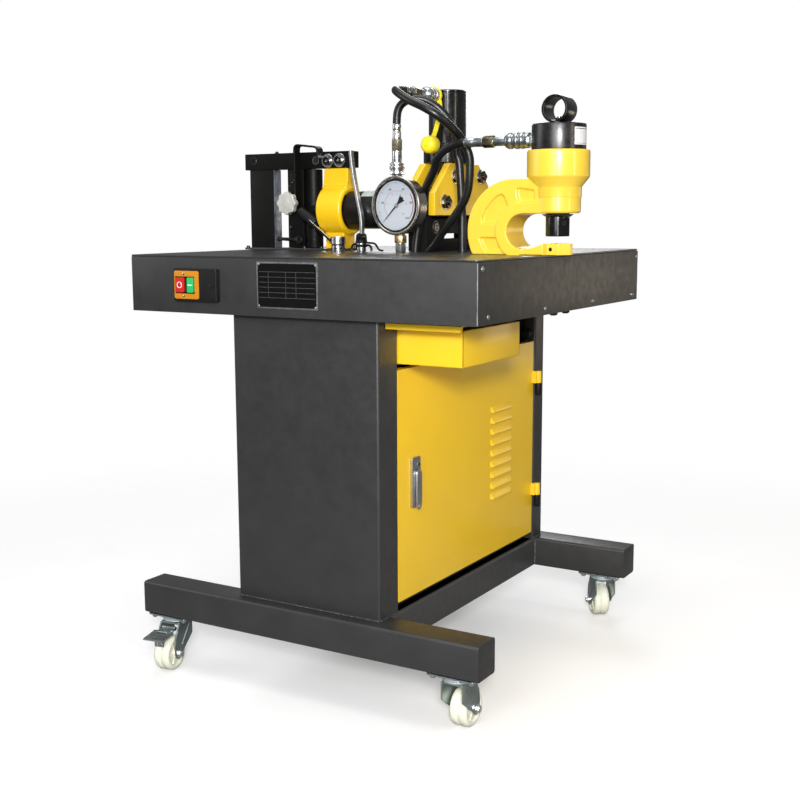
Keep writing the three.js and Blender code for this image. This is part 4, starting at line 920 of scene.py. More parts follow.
# ---------------------------------------------------------------- power pack
def power():
    p = Piece("oil_tank_look", "machine", ["oil_tank"])
    z0, z1 = 160.3, 372
    p.add(bevel(bm_prism(rounded(-105, 115, -70, 262, 6, 5), "z", z0, z1), 1.2, 2, 40), "grey")
    p.lathe("z", [(0, z1), (16, z1), (16, z1 + 4), (20, z1 + 5), (20, z1 + 14), (18, z1 + 16), (0, z1 + 16)], -70, -35, "black_plastic", 40)
    p.lathe("x", [(0, 115), (10, 115), (10, 118), (8, 119), (0, 119)], -40, 240, "zinc", 32)
    p.build()
    p = Piece("pump_motor_look", "machine", ["pump_motor"])
    p.lathe("z", [(0, 372.3), (80, 372.3), (80, 383), (68, 384), (66, 388), (66, 556), (64, 560), (61, 566), (59.5, 610), (56, 616), (46, 618), (0, 618)], 30, 180, "black", 64, 0.8)
    for i in range(28):
        t = 2 * math.pi * i / 28
        c, s = math.cos(t), math.sin(t)
        q = bevel(bm_box(64, 74, -1.2, 1.2, 396, 548), 0.5, 1)
        q.transform(Matrix.Translation((30, 180, 0)) @ Matrix.Rotation(t, 4, "Z"))
        p.add(q, "black")
    for i in range(10):
        t = 2 * math.pi * i / 10
        q = bevel(bm_box(20, 42, -2.0, 2.0, 617.2, 618.4), 0.3, 1)
        q.transform(Matrix.Translation((30, 180, 0)) @ Matrix.Rotation(t, 4, "Z"))
        p.add(q, "dark")
    p.build()


power()


# ------------------------------------------------------------------- coupler
def coupler(p, axis, s0, d, u, v, ferrule=35.0, mat="zinc"):
    """Quick coupler from its object end s0 towards d along the axis: nipple, locking sleeve, barrel, nut, ferrule."""
    def L(prof, m, seg=44, bev=0.25):
        p.lathe(axis, [(r, s0 + d * h) for r, h in prof], u, v, m, seg, bev)

    def hexa(r, a, b, m):
        lo, hi = sorted((s0 + d * a, s0 + d * b))
        p.prism([(x + u, y + v) for x, y in ngon(0, 0, r, 6, 30)], axis, lo, hi, m, 0.8, 2)

    hexa(10.4, 0.2, 7.5, mat)
    L([(0, 7), (12.6, 7), (13.2, 8), (13.2, 13.5), (12.0, 14.4), (12.0, 16), (13.6, 17), (14, 18), (14, 22), (13.2, 23.6), (11.8, 24.4), (11.8, 26), (13.6, 27), (14, 28), (14, 32), (13.0, 34), (11.9, 35), (11.9, 38), (13.0, 39), (13.4, 40), (13.4, 46), (12.2, 48.6), (9.6, 52), (0, 52)], mat)
    for i in range(36):
        t = 2 * math.pi * i / 36
        q = bevel(bm_box(12.9, 13.65, -0.4, 0.4, 40.4, 45.8), 0.15, 1)
        q.transform(Matrix.Rotation(t, 4, "Z"))
        if d < 0:
            q.transform(Matrix.Scale(-1, 4, (0, 0, 1)))
        q.transform(Matrix.Translation((0, 0, s0)))
        q.transform(PERM[axis])
        q.transform(Matrix.Translation({"x": (0, u, v), "y": (u, 0, v), "z": (u, v, 0)}[axis]))
        bmesh.ops.recalc_face_normals(q, faces=q.faces)
        p.add(q, mat)
    L([(0, 51), (7.8, 51), (7.8, 74), (0, 74)], mat)
    hexa(10.5, 73.5, 94, "olive_brass")
    L([(0, 94), (8.8, 94), (8.8, 96.4), (8.1, 97.4), (8.1, 110), (7.7, 110.8), (7.7, 112.4), (8.1, 113.2), (8.2, 94 + ferrule - 2), (7.6, 94 + ferrule), (0, 94 + ferrule)], mat)


# ------------------------------------------------------------------- puncher
def puncher():
    G = at(357, -69, T)
    H = 33.0
    arch = [(-12, 0.3), (-12, 19.3), (-24, 15), (-36, 11.8)] + arc(-50, 40, 29.3, 270, 90, 28) + [(0, 69.3), (0, 112), (-24, 121.6), (-40, 127.4), (-54, 127.4)] + arc(-67, 40, 87.5, 92, 207, 44)
    pockets = [
        [(-90, 102.7), (-85.2, 98.3), (-77.1, 79.8), (-84.9, 72.2), (-91.6, 63.5), (-96, 53.7), (-126.8, 53.1), (-126.2, 63.6), (-120.7, 76.8), (-109.7, 89.8), (-99.9, 98.4)],
        [(-131, 28.8), (-98, 29), (-94.2, 20.7), (-89.2, 12), (-83, 5), (-119, 5), (-126.5, 17.2)],
        [(-61.7, 112), (-30, 108.3), (-29, 88.6), (-42.8, 88.1), (-56, 87), (-60.9, 98)],
    ]
    sunk = [bm_prism(o, "y", a, b) for o in pockets for a, b in ((-H - 1, -H + 5.5), (H - 5.5, H + 1))]
    web = boolean(bm_prism(arch, "y", -H, H), sunk)
    jaw = [(-14, -H), (-12, -H), (-9, -21), (10.6, -21), (26, -5), (26, 5), (10.6, 21), (-9, 21), (-12, H), (-14, H)]
    band = bm_prism(arc(-50, 40, 29.4, 268, 90, 28) + [(-4, 69.4), (-4, 88)] + arc(-52, 40, 48, 90, 262, 30), "y", -H - 2.2, H + 2.2)
    inner_jaw = bm_prism([(x * 0.97, y * 0.97) for x, y in jaw], "z", 1.2, 18.2)
    core = bm_lathe("z", [(0, 69.6), (35.6, 69.6), (38.4, 72), (38.4, 98), (38.4, 113), (51.6, 129), (51.6, 172), (0, 172)], 0, 0, 72)
    body = cast([web, band, inner_jaw, core], 1.3, 9)
    p = Piece("punch_frame_look", "machine", ["punch_frame"], G, sharp=38)
    seat = lambda: [bm_cyl("z", 12.2, 9, 40, 0, 0, 48), bm_cyl("y", 2.6, -30, -10, -3.3, 9.8, 24)]
    p.add(boolean(body, seat()), "cast_yellow")
    p.add(boolean(bevel(bm_prism(jaw, "z", 0.3, 19.3), 1.6, 3), seat()), "cast_yellow")
    p.lathe("z", [(30, 96.0), (38.6, 96.0), (39.2, 96.4), (39.4, 97.2), (39.4, 112.4), (40.0, 114), (51.4, 128.4), (52.4, 130), (52.6, 132), (52.6, 170), (52.2, 172.2), (51, 173.8), (44, 173.9), (44, 170), (30, 170), (30, 96.0)], 0, 0, "cast_yellow", 96, 0.0)
    # set screw in the jaw's side
    p.lathe("y", [(0, -20.0), (1.6, -20.0), (1.6, -21.0), (3.2, -21.0), (3.4, -21.4), (2.6, -21.6), (2.4, -21.2), (2.4, -18), (0, -18)], -3.3, 9.8, "black_chrome", 28, 0.0)
    p.build()

    p = Piece("punch_ram_look", "punch_ram", ["punch_ram"], G)
    ram = bevel(bm_lathe("z", [(0, 31.2), (19, 31.2), (20, 32.2), (20, 92), (0, 92)], 0, 0, 72), 0.4, 2)
    flat = bm_box(16.4, 30, -30, 30, 28, 62)
    flat.transform(Matrix.Rotation(math.radians(-25), 4, "Z"))
    ram = boolean(ram, [flat])
    p.add(ram, "black_gloss")
    p.lathe("z", [(0, 63.8), (20.6, 63.8), (21.4, 64.2), (26.4, 67.6), (26.8, 68.4), (0, 68.4)], 0, 0, "black_gloss", 64, 0.2)
    screw = bm_lathe("x", [(0, 15.6), (3.6, 15.6), (3.6, 16.7), (2.0, 16.7), (2.0, 16.1), (0, 16.1)], 0, 53, 28)
    screw.transform(Matrix.Rotation(math.radians(-25), 4, "Z"))
    p.add(screw, "black_oxide")
    p.build()

    p = Piece("punch_die_look", "machine", ["punch_die"], G)
    p.lathe("z", [(5.5, 8.4), (12.0, 8.4), (12.0, 18.9), (11.3, 19.6), (6.2, 19.6), (5.5, 18.9), (5.5, 8.4)], 0, 0, "steel", 48, 0.0)
    p.build()

    p = Piece("punch_cylinder_look", "machine", ["punch_cylinder"], G)
    p.lathe("z", [(0, 174.3), (44.8, 174.3), (45.5, 175), (45.5, 214), (44.6, 216.4), (42, 217), (0, 217)], 0, 0, "black_blued", 96, 0.2)
    # blank white label
    p.add(bm_lathe("z", [(45.4, 181), (45.9, 181), (45.9, 209.6), (45.4, 209.6), (45.4, 181)], 0, 0, 120, -33, 14), "label")
    p.add(bm_lathe("z", [(45.8, 183), (46.0, 183), (46.0, 183.5), (45.8, 183.5), (45.8, 183)], 0, 0, 120, -31, 12), "ink")
    p.add(bm_lathe("z", [(45.8, 206.4), (46.0, 206.4), (46.0, 207.4), (45.8, 207.4), (45.8, 206.4)], 0, 0, 120, -31, 12), "ink")
    p.cyl("z", 7, 216.6, 219.4, 0, 0, "black_oxide", 0.5, 28)
    p.build()

    p = Piece("carry_ring_look", "machine", ["carry_ring"], G)
    ring = [(u, v) for u, v in arc(0, 240.4, 23, 0, 360, 80)[:-1]]
    outer = bm_prism(ring, "y", -22, 22)
    ringb = boolean(outer, [bm_cyl("y", 19.2, -30, 30, 0, 240.4, 80)])
    p.add(bevel(ringb, 0.8, 2), "black_gloss")
    p.prism(ngon(0, 0, 7.2, 6, 10), "z", 221.2, 226.6, "black_oxide", 0.6)
    p.cyl("z", 3.4, 226, 229, 0, 0, "zinc", 0.4, 20)
    p.build()

    p = Piece("punch_coupler_look", "machine", ["punch_coupler"], G)
    coupler(p, "x", -45.9, -1, 0, 192, 37)
    p.build()


puncher()


# -------------------------------------------------------------------- cutter
def cutter():
    G = at(42, 120, T)
    hw = 19.5
    p = Piece("cutter_frame_look", "machine", ["cutter_frame"], G)
    core = bevel(bm_box(-hw, hw, -117, 115, 0.3, 66), 1.2, 2)
    top = bevel(bm_box(-hw, hw, -100, 100, 60, 120), 0.8, 2)
    cuts = lambda: [bm_box(-hw - 4, hw + 4, -47, 63, 22.4, 32.6), bm_box(-7, 7, -42, 40, 30, 125), bm_cyl("z", 10.5, 76, 125, 0, 0, 40)]
    p.add(boolean(core, cuts()), "black")
    p.add(boolean(top, cuts()), "black")
    # counterbored clamp screws on both sides
    for s in (-1, 1):
        for y in (-80, 78):
            ring = [(12.2, 0.0), (12.2, 0.5), (11.2, 0.7), (10.2, 0.3), (10.2, 0.0), (12.2, 0.0)]
            p.lathe("x", [(r, s * (hw + h)) for r, h in ring], y, 45, "chrome_zinc", 44, 0.0)
            head = [(0, 0.0), (8.6, 0.0), (8.6, 0.9), (7.8, 1.5), (4.6, 1.5), (4.6, 0.2), (0, 0.2)]
            p.lathe("x", [(r, s * (hw + h)) for r, h in head], y, 45, "black_chrome", 40, 0.0)
    p.build()
    prof = [(-110, 67), (111, 67), (111, 125), (68, 165), (-49, 165), (-109, 108)]
    bolts = [(-30, 140), (73, 142), (-72, 92), (88, 92)]
    for name, x0, x1, s in (("cutter_plate_right", hw + 0.3, hw + 14, 1), ("cutter_plate_left", -hw - 14, -hw - 0.3, -1)):
        p = Piece(name + "_look", "machine", [name], G)
        p.prism(prof, "x", x0, x1, "yellow", 1.6, 3)
        face = x1 if s > 0 else x0
        for y, z in bolts:
            if s > 0:
                p.cyl("x", 14.2, face, face + 1.6, y, z, "zinc", 0.4, 44)
                hexbolt(p, "x", face + 1.6, y, z, 1, "black_chrome", 12.2, 8.0, None, 20)
                p.lathe("x", [(0, face + 9), (6.0, face + 9), (6.0, face + 12.6), (4.8, face + 14), (0, face + 14)], y, z, "black_chrome", 32, 0.1)
            else:
                hexbolt(p, "x", face, y, z, -1, "black_chrome", 12.2, 4.6, None, 20)
        p.build()

    p = Piece("cutter_cylinder_look", "machine", ["cutter_cylinder"], G)
    p.lathe("z", [(0, 120.3), (19, 120.3), (19, 166), (44.8, 166), (46, 167.2), (46, 198), (44.6, 200.4), (36.4, 202), (36, 203), (36, 296.6), (35.2, 297.2), (35.2, 298.4), (36, 299), (36, 301.6), (34.6, 303), (27, 303), (26, 302), (0, 302)], 0, 0, "black_gloss", 96, 0.25)
    p.cyl("z", 5, 301.5, 303.0, 14, 10, "black_oxide", 0.3, 24)
    p.prism([(u + 2, v + 290) for u, v in ngon(0, 0, 10.4, 6, 0)], "y", -42, -30, "black_oxide", 0.8)
    p.build()

    p = Piece("cutter_blade_look", "cutter_blade", ["cutter_blade"], G)
    p.prism([(-41, 36), (39, 46), (39, 100), (-41, 100)], "x", -6, 6, "steel", 0.5)
    p.cyl("z", 10, 95, 150, 0, 0, "chrome_zinc", 0.8, 40)
    p.build()

    p = Piece("cutter_coupler_look", "machine", ["cutter_coupler"], G)
    coupler(p, "y", -42.3, -1, 2, 290, 30.7)
    p.build()

    p = Piece("cutter_dust_cap_look", "machine", ["cutter_dust_cap"], G)
    ring = boolean(bm_cyl("y", 16.4, -59.5, -54.5, 2, 290, 48), [bm_cyl("y", 14.5, -62, -52, 2, 290, 48)])
    p.add(bevel(ring, 0.7, 2), "yellow_rubber")
    path = catmull([(13.4, -57, 281), (14.5, -56.2, 272), (13.5, -55.2, 262), (10, -54.2, 246), (6.4, -54.6, 232), (3.6, -57, 220), (1.5, -60.5, 211)], 5)
    p.tube(path, 3, "yellow_rubber", flat=(3.4, 9))
    p.lathe("y", [(0, -84), (5, -83.8), (10, -82.6), (13.6, -80.2), (15.8, -76.4), (16.5, -72), (16.5, -60), (16.0, -58), (13.5, -55.5), (13.2, -54.2), (11, -54.2), (11, -62), (0, -62)], 0, 199, "yellow_rubber", 64, 0.4)
    p.lathe("y", [(0, -84.2), (3.4, -84.2), (3.2, -84.9), (0, -85)], 0, 199, "yellow_rubber", 28, 0.1)
    p.build()


cutter()


# -------------------------------------------------------------------- bender
def bender():
    G = at(0, 18, T)
    p = Piece("bender_post_look", "machine", ["bender_post"], G)
    p.box(-347.3, -288.4, -16, 7.5, 3.6, 158.2, "black", 0.9)
    p.box(-289.2, -286.8, -15.4, 6.9, 4.2, 157.8, "guide", 0.4)
    p.box(-358, -110, -24, 18, 0.3, 4, "table", 0.7)
    for x, y in ((-352.5, -20), (-352.5, 13), (-212, -19.8), (-172, -19.8), (-114.6, 13)):
        p.lathe("z", [(0, 4), (3.6, 4), (3.6, 7.4), (3.0, 8), (1.9, 8), (1.9, 6), (0, 6)], x, y, "black_chrome", 28, 0.0)
    p.build()

    p = Piece("bender_top_bar_look", "machine", ["bender_top_bar"], G)
    p.box(-357.5, -102.3, -18, 9.5, 158.5, 190, "black", 0.9, 3)
    p.lathe("y", [(0, -17.6), (3.6, -17.6), (4.0, -18.3), (7.6, -18.5), (8.2, -18.1), (8.2, -17.0), (0, -17.0)], -336.3, 176, "black_oxide", 36, 0.0)
    p.lathe("y", [(6.2, -17.8), (6.4, -18.5), (7.4, -18.5), (7.8, -17.8), (6.2, -17.8)], -184.3, 173.4, "zinc", 36, 0.0)
    # dark disc in the ring's bore: painted shade of the hole
    p.lathe("y", [(0, -18.1), (6.2, -18.1), (6.2, -17.6), (0, -17.6)], -184.3, 173.4, "dark", 36, 0.0)
    for x, z in ((-155.9, 172.1), (-128.8, 172.7)):
        p.lathe("y", [(8.0, -18.1), (13.2, -18.1), (13.2, -19.6), (12.8, -20.0), (8.0, -20.0), (8.0, -18.1)], x, z, "chrome_zinc", 48, 0.0)
        p.lathe("y", [(0, -18.2), (8.2, -18.2), (8.2, -24.6), (7.2, -25.6), (4.6, -25.6), (4.6, -21), (0, -21)], x, z, "black_chrome", 40, 0.0)
        p.prism([(a + x, b + z) for a, b in ngon(0, 0, 3.0, 6, 14)], "y", -23.4, -20.6, "chrome_zinc", 0.2)
        p.cyl("y", 11, 9.5, 11.4, x, z, "zinc", 0.4, 36)
        p.prism([(a + x, b + z) for a, b in ngon(0, 0, 8.4, 6, 8)], "y", 11.3, 17.6, "black_chrome", 0.7)
    p.lathe("z", [(0, 189), (4.4, 189), (4.4, 191.6), (3.0, 192), (3.0, 193.4), (2.2, 194.2), (0, 194.2)], -286.3, -6, "black_oxide", 28, 0.1)
    p.build()

    p = Piece("bender_body_look", "machine", ["bender_body"], G, sharp=38)
    drum = bm_lathe("x", [(0, -168), (43, -168), (46.6, -166.4), (48, -163), (48, -116), (47, -112.6), (44, -110.6), (41, -110.2), (38.4, -111.4), (37.2, -114), (37.0, -150), (0, -150)], 0, 78, 96)
    neck = bm_prism([(-169.5, 96), (-116, 96), (-111.7, 140), (-111.7, 158.2), (-166, 158.2), (-168, 132)], "y", -16, 9.5)
    gusset = bm_prism([(-168, 96), (-111.7, 96), (-111.7, 124), (-168, 124)], "y", -21, 21)
    feet = bm_box(-160, -118, -22, 17.6, 4.3, 50)
    # the bore stays open through the neck and the foot
    body = cast([drum, neck, gusset, feet], 1.3, 7, [bm_cyl("x", 36.5, -149.8, -100, 0, 78, 80)])
    p.add(body, "cast_yellow2")
    p.box(-160, -115, -23.4, 17.8, 4.3, 12, "cast_yellow2", 1.4, 3)
    p.build()

    p = Piece("bender_cylinder_look", "machine", ["bender_cylinder"], G)
    p.lathe("x", [(0, -149.6), (36, -149.6), (36, -12), (35.2, -11.2), (35.2, -9.8), (36, -9), (36, -1.6), (34.4, 0), (26, 0), (25, -1), (0, -1)], 0, 78, "black_satin", 96, 0.2)
    # blank label round the top
    p.add(bm_lathe("x", [(35.9, -76), (36.4, -76), (36.4, -30), (35.9, -30), (35.9, -76)], 0, 78, 120, 88, 136), "label_grey")
    p.build()

    p = Piece("bender_ram_look", "bender_slide", ["bender_ram"], G)
    p.box(-254, -216, -16, 7.5, 4.6, 158, "black", 1.1, 3)
    p.lathe("z", [(0, 4.6), (16.6, 4.6), (17.5, 5.5), (17.5, 156.6), (16.6, 157.5), (0, 157.5)], -203, 1.5, "black", 72, 0.2)
    p.cyl("x", 17, -200, -175, 0, 78, "black_oxide", 1.0, 56)
    p.cyl("x", 12, -180, -112, 0, 78, "chrome_zinc", 0.8, 40)
    # small lever near the foot
    p.tube([(-228, -19, 20.5), (-238, -20, 20.6), (-250, -20.6, 21.2), (-268, -21, 22)], 3.4, "black_oxide", seg=14, radii=[5.4, 4.4, 3.6, 3.4])
    p.lathe("x", [(0, -278), (2.6, -277.4), (4.6, -275), (5.0, -272), (4.4, -269), (3.2, -267.5), (0, -267.5)], -21, 22, "black_plastic", 28, 0.0)
    p.lathe("y", [(0, -15.5), (9.0, -15.5), (9.0, -20.5), (7.6, -22), (3.4, -22), (3.0, -21.2), (0, -21.2)], -226, 20, "black_oxide", 36, 0.3)
    for z in (124, 70, 44):
        p.lathe("y", [(0, -15.9), (3.6, -15.9), (3.4, -17.4), (2.0, -17.8), (1.8, -16.8), (0, -16.8)], -246 if z < 100 else -249, z, "black_chrome", 24, 0.0)
    p.build()

    p = Piece("strap_handle_look", "bender_slide", ["strap_handle"], G)
    y = -28.3
    path = [(-167.6, y, 176), (-167.6, y, 190), (-168.5, y, 194.4), (-171.5, y, 197.4), (-176, y, 198.8), (-195, y, 200.9), (-211, y, 202.8), (-216.4, y, 203.0), (-219.9, y, 201.4), (-221.8, y, 198), (-222.2, y, 193.6), (-222.2, y, 170), (-222.2, y, 130), (-222.2, y, 92), (-221.6, y, 86.6), (-219.2, y, 82), (-215.2, y, 78.2), (-205, y, 70.6)]
    p.tube(path, 2, "black", flat=(19.4, 4.0))
    # padded sleeve on the slanting end, and beyond it a black bar with a thin bright strip along its top edge, a
    # painted highlight
    p.tube([(-216, -30, 78), (-213.5, -30, 76.3), (-196, -30, 64.5), (-180, -30, 53.8), (-177.4, -30, 52.1), (-175.6, -30, 50.9)], 8.5, "black_plastic", seg=32, radii=[6.5, 9.6, 10.2, 10.2, 9.0, 6.0])
    p.tube([(-190, -38, 60.6), (-174, -38, 49.8)], 3, "black", flat=(9.6, 4.0))
    p.tube([(-185, -41.1, 57.2), (-160, -41.1, 38.4), (-137, -41.1, 21.2), (-134, -41.1, 19.4)], 3, "black", flat=(5.8, 4.2))
    p.tube([(-184, -41.1, 59.2), (-160, -41.1, 41.2), (-136.5, -41.1, 23.6)], 3, "chrome_zinc", flat=(5.4, 1.4))
    p.box(-246, -220.4, -20, -16.4, 112, 150, "black", 0.8)
    p.lathe("y", [(0, -19.8), (4.6, -19.8), (4.6, -22.6), (3.6, -23.4), (2.2, -23.4), (2.2, -21.6), (0, -21.6)], -236.5, 133, "black_chrome", 28, 0.0)
    p.build()

    p = Piece("star_knob_look", "star_knob", ["star_knob"], G)
    star = []
    for i in range(112):
        t = 2 * math.pi * i / 112
        r = 21.0 + 1.5 * math.cos(8 * t)
        star.append((-234 + r * math.cos(t), 91.5 + r * math.sin(t)))
    p.prism(star, "y", -51, -39.4, "alu_matt", 1.8, 3)
    p.lathe("y", [(0, -50.8), (12.5, -50.8), (12.0, -49.9), (7.4, -49.7), (7.0, -51.3), (0, -51.3)], -234, 91.5, "alu_matt", 48, 0.0)
    p.lathe("y", [(0, -40), (9, -40), (9, -30), (8.2, -28), (8.2, -16.5), (0, -16.5)], -234, 91.5, "zinc", 36, 0.3)
    p.build()


bender()


# --------------------------------------------------------------------- gauge
def gauge():
    G = at(30, -40, T, -5)
    d, R, Z = 16.0, 54.0, 85.0
    p = Piece("gauge_case_look", "machine", ["gauge_case"], G)
    # turned bezel and case
    p.lathe("y", [(48.4, -d + 7.5), (48.4, -d + 1.6), (49.2, -d + 0.4), (50.6, -d), (52.4, -d + 0.3), (53.6, -d + 1.4), (54, -d + 3.2), (54, -d + 8.2), (53.4, -d + 9.4), (52.4, -d + 9.9), (52.0, -d + 11), (52.0, d - 3.6), (51.2, d - 1.4), (49, d), (0, d), (0, -d + 7.5), (48.4, -d + 7.5)], 0, Z, "case_steel", 112, 0.0)
    # black gasket inside the bezel, its opening set off-centre so that the ring is wider on one side: gasket and
    # painted shadow of the bezel on the dial
    p.add(boolean(bm_cyl("y", 48.5, -d + 3.4, -d + 6.6, 0, Z, 96), [bm_cyl("y", 45.0, -d + 2, -d + 8, -2.5, Z, 96)]), "dark")
    # dial face, with the liquid line in its upper third
    p.lathe("y", [(0, -d + 7.4), (47.6, -d + 7.4), (47.6, -d + 6.4), (0, -d + 6.4)], 0, Z, "dial", 96, 0.0)
    lo = 19.5
    seg = [(46.3 * math.cos(a), Z + 46.3 * math.sin(a)) for a in [math.asin(lo / 46.3) + (math.pi - 2 * math.asin(lo / 46.3)) * i / 30 for i in range(31)]]
    p.prism(seg, "y", -d + 6.2, -d + 6.4, "dial_wet", 0.0)
    y0, y1 = -d + 5.8, -d + 6.1
    for i in range(51):
        a = math.radians(225 - 270 * i / 50)
        r0 = 39.6 if i % 5 == 0 else 41.2
        r1 = 43.0
        wdt = 0.3 if i % 5 == 0 else 0.16
        c, s = math.cos(a), math.sin(a)
        pts = [(r0 * c - wdt * s, Z + r0 * s + wdt * c), (r0 * c + wdt * s, Z + r0 * s - wdt * c), (r1 * c + wdt * s, Z + r1 * s - wdt * c), (r1 * c - wdt * s, Z + r1 * s + wdt * c)]
        p.prism(pts, "y", y0, y1, "pale_ink", 0.0)
    # faint inner scale ring and the red sector
    p.prism(arc(0, Z, 27.4, 225, 60, 60) + arc(0, Z, 26.9, 60, 225, 60), "y", y0, y1, "pale_red", 0.0)
    p.prism(arc(0, Z, 37.6, -40, 34, 24) + arc(0, Z, 36.3, 34, -40, 24), "y", y0, y1, "red_ink", 0.0)

    def word(body, size, x, z, mat):
        txt = bpy.data.curves.new("n", "FONT")
        txt.body = body
        txt.size = size
        txt.align_x = "CENTER"
        txt.align_y = "CENTER"
        txt.extrude = 0.15
        tob = bpy.data.objects.new("n", txt)
        bpy.context.scene.collection.objects.link(tob)
        bpy.context.view_layer.update()
        q = evaluated(tob)
        bpy.data.objects.remove(tob)
        bpy.data.curves.remove(txt)
        q.transform(Matrix.Translation((x, -d + 5.9, z)) @ Matrix.Rotation(math.radians(90), 4, "X"))
        p.add(q, mat)

    for k in range(6):
        a = math.radians(225 - 54 * k)
        word(str(20 * k), 6.2, 32.6 * math.cos(a), Z + 32.6 * math.sin(a), "pale_ink")
        word(str(2 * k), 4.6, 21.6 * math.cos(a), Z + 21.6 * math.sin(a), "pale_red")
    p.cyl("y", 4.2, -d + 4.2, -d + 6.4, 0, Z, "steel", 0.4, 32)
    # hex fitting in the table and the brass neck above it
    p.prism([(u, v + 2) for u, v in ngon(0, 0, 10.6, 6, 12)], "z", 0.3, 15.4, "zinc", 0.9, 2)
    p.cyl("z", 8.2, 15, 17.2, 0, 2, "brass", 0.3, 36)
    p.prism([(u, v + 2) for u, v in ngon(0, 0, 11.8, 6, 20)], "z", 16.6, 31, "brass", 1.0, 2)
    p.cyl("z", 8.4, 29, 36, 0, 2, "brass", 0.4, 36)
    p.lathe("z", [(0, 124), (9.5, 124), (9.5, 139.6), (8.4, 141), (0, 141)], -8, 3, "chrome_zinc", 40, 0.3)
    p.build()

    p = Piece("gauge_glass_look", "machine", [], G)
    p.lathe("y", [(0, -d + 1.9), (48.3, -d + 1.9), (48.3, -d + 3.2), (0, -d + 3.2)], 0, Z, "glass", 96, 0.0)
    ob = p.build()

    p = Piece("gauge_needle_look", "gauge_needle", ["gauge_needle"], G)
    c, s = math.cos(math.radians(225)), math.sin(math.radians(225))

    def along(r, w):
        return (r * c - w * s, Z + r * s + w * c)

    pts = [along(40.5, 0.25), along(40.5, -0.25), along(6, -1.4), along(-5, -1.4), along(-8, -2.6), along(-19.4, -7.2), along(-18.4, -4.2), along(-20.8, 0), along(-18.4, 4.2), along(-19.4, 7.2), along(-8, 2.6), along(-5, 1.4), along(6, 1.4)]
    p.prism(pts, "y", -d + 4.6, -d + 5.2, "ink", 0.0)
    p.lathe("y", [(0, -d + 3.6), (2.2, -d + 3.6), (3.2, -d + 4.0), (3.4, -d + 4.7), (3.4, -d + 7.2), (0, -d + 7.2)], 0, Z, "zinc", 32, 0.0)
    p.build()

    p = Piece("gauge_coupler_look", "machine", ["gauge_coupler"], G)

    def L(prof, m):
        p.lathe("z", prof, -8, 3, m, 48, 0.25)

    L([(0, 141.3), (12.4, 141.3), (13.6, 142.4), (13.6, 147), (11.8, 148.2), (11.8, 150), (13.6, 151), (14, 152), (14, 155.6), (13.0, 156.8), (11.8, 157.4), (11.8, 158.4), (13.2, 159.2), (13.2, 161), (10, 164), (0, 164)], "chrome_zinc")
    L([(0, 163), (9, 163), (9, 183.6), (8, 184.6), (0, 184.6)], "chrome_zinc")
    for i in range(36):
        q = bevel(bm_box(12.9, 13.85, -0.4, 0.4, 142.6, 146.6), 0.15, 1)
        q.transform(Matrix.Translation((-8, 3, 0)) @ Matrix.Rotation(2 * math.pi * i / 36, 4, "Z"))
        p.add(q, "chrome_zinc")
    p.prism([(u - 8, v + 3) for u, v in ngon(0, 0, 10.5, 6, 10)], "z", 184.4, 205, "brass_pale", 0.9, 2)
    L([(0, 205), (8.4, 205), (8.4, 207.4), (7.7, 208.4), (7.7, 218), (7.3, 218.8), (7.3, 220.2), (7.7, 221), (7.9, 230), (7.4, 232), (0, 232)], "chrome_zinc")
    p.build()


gauge()


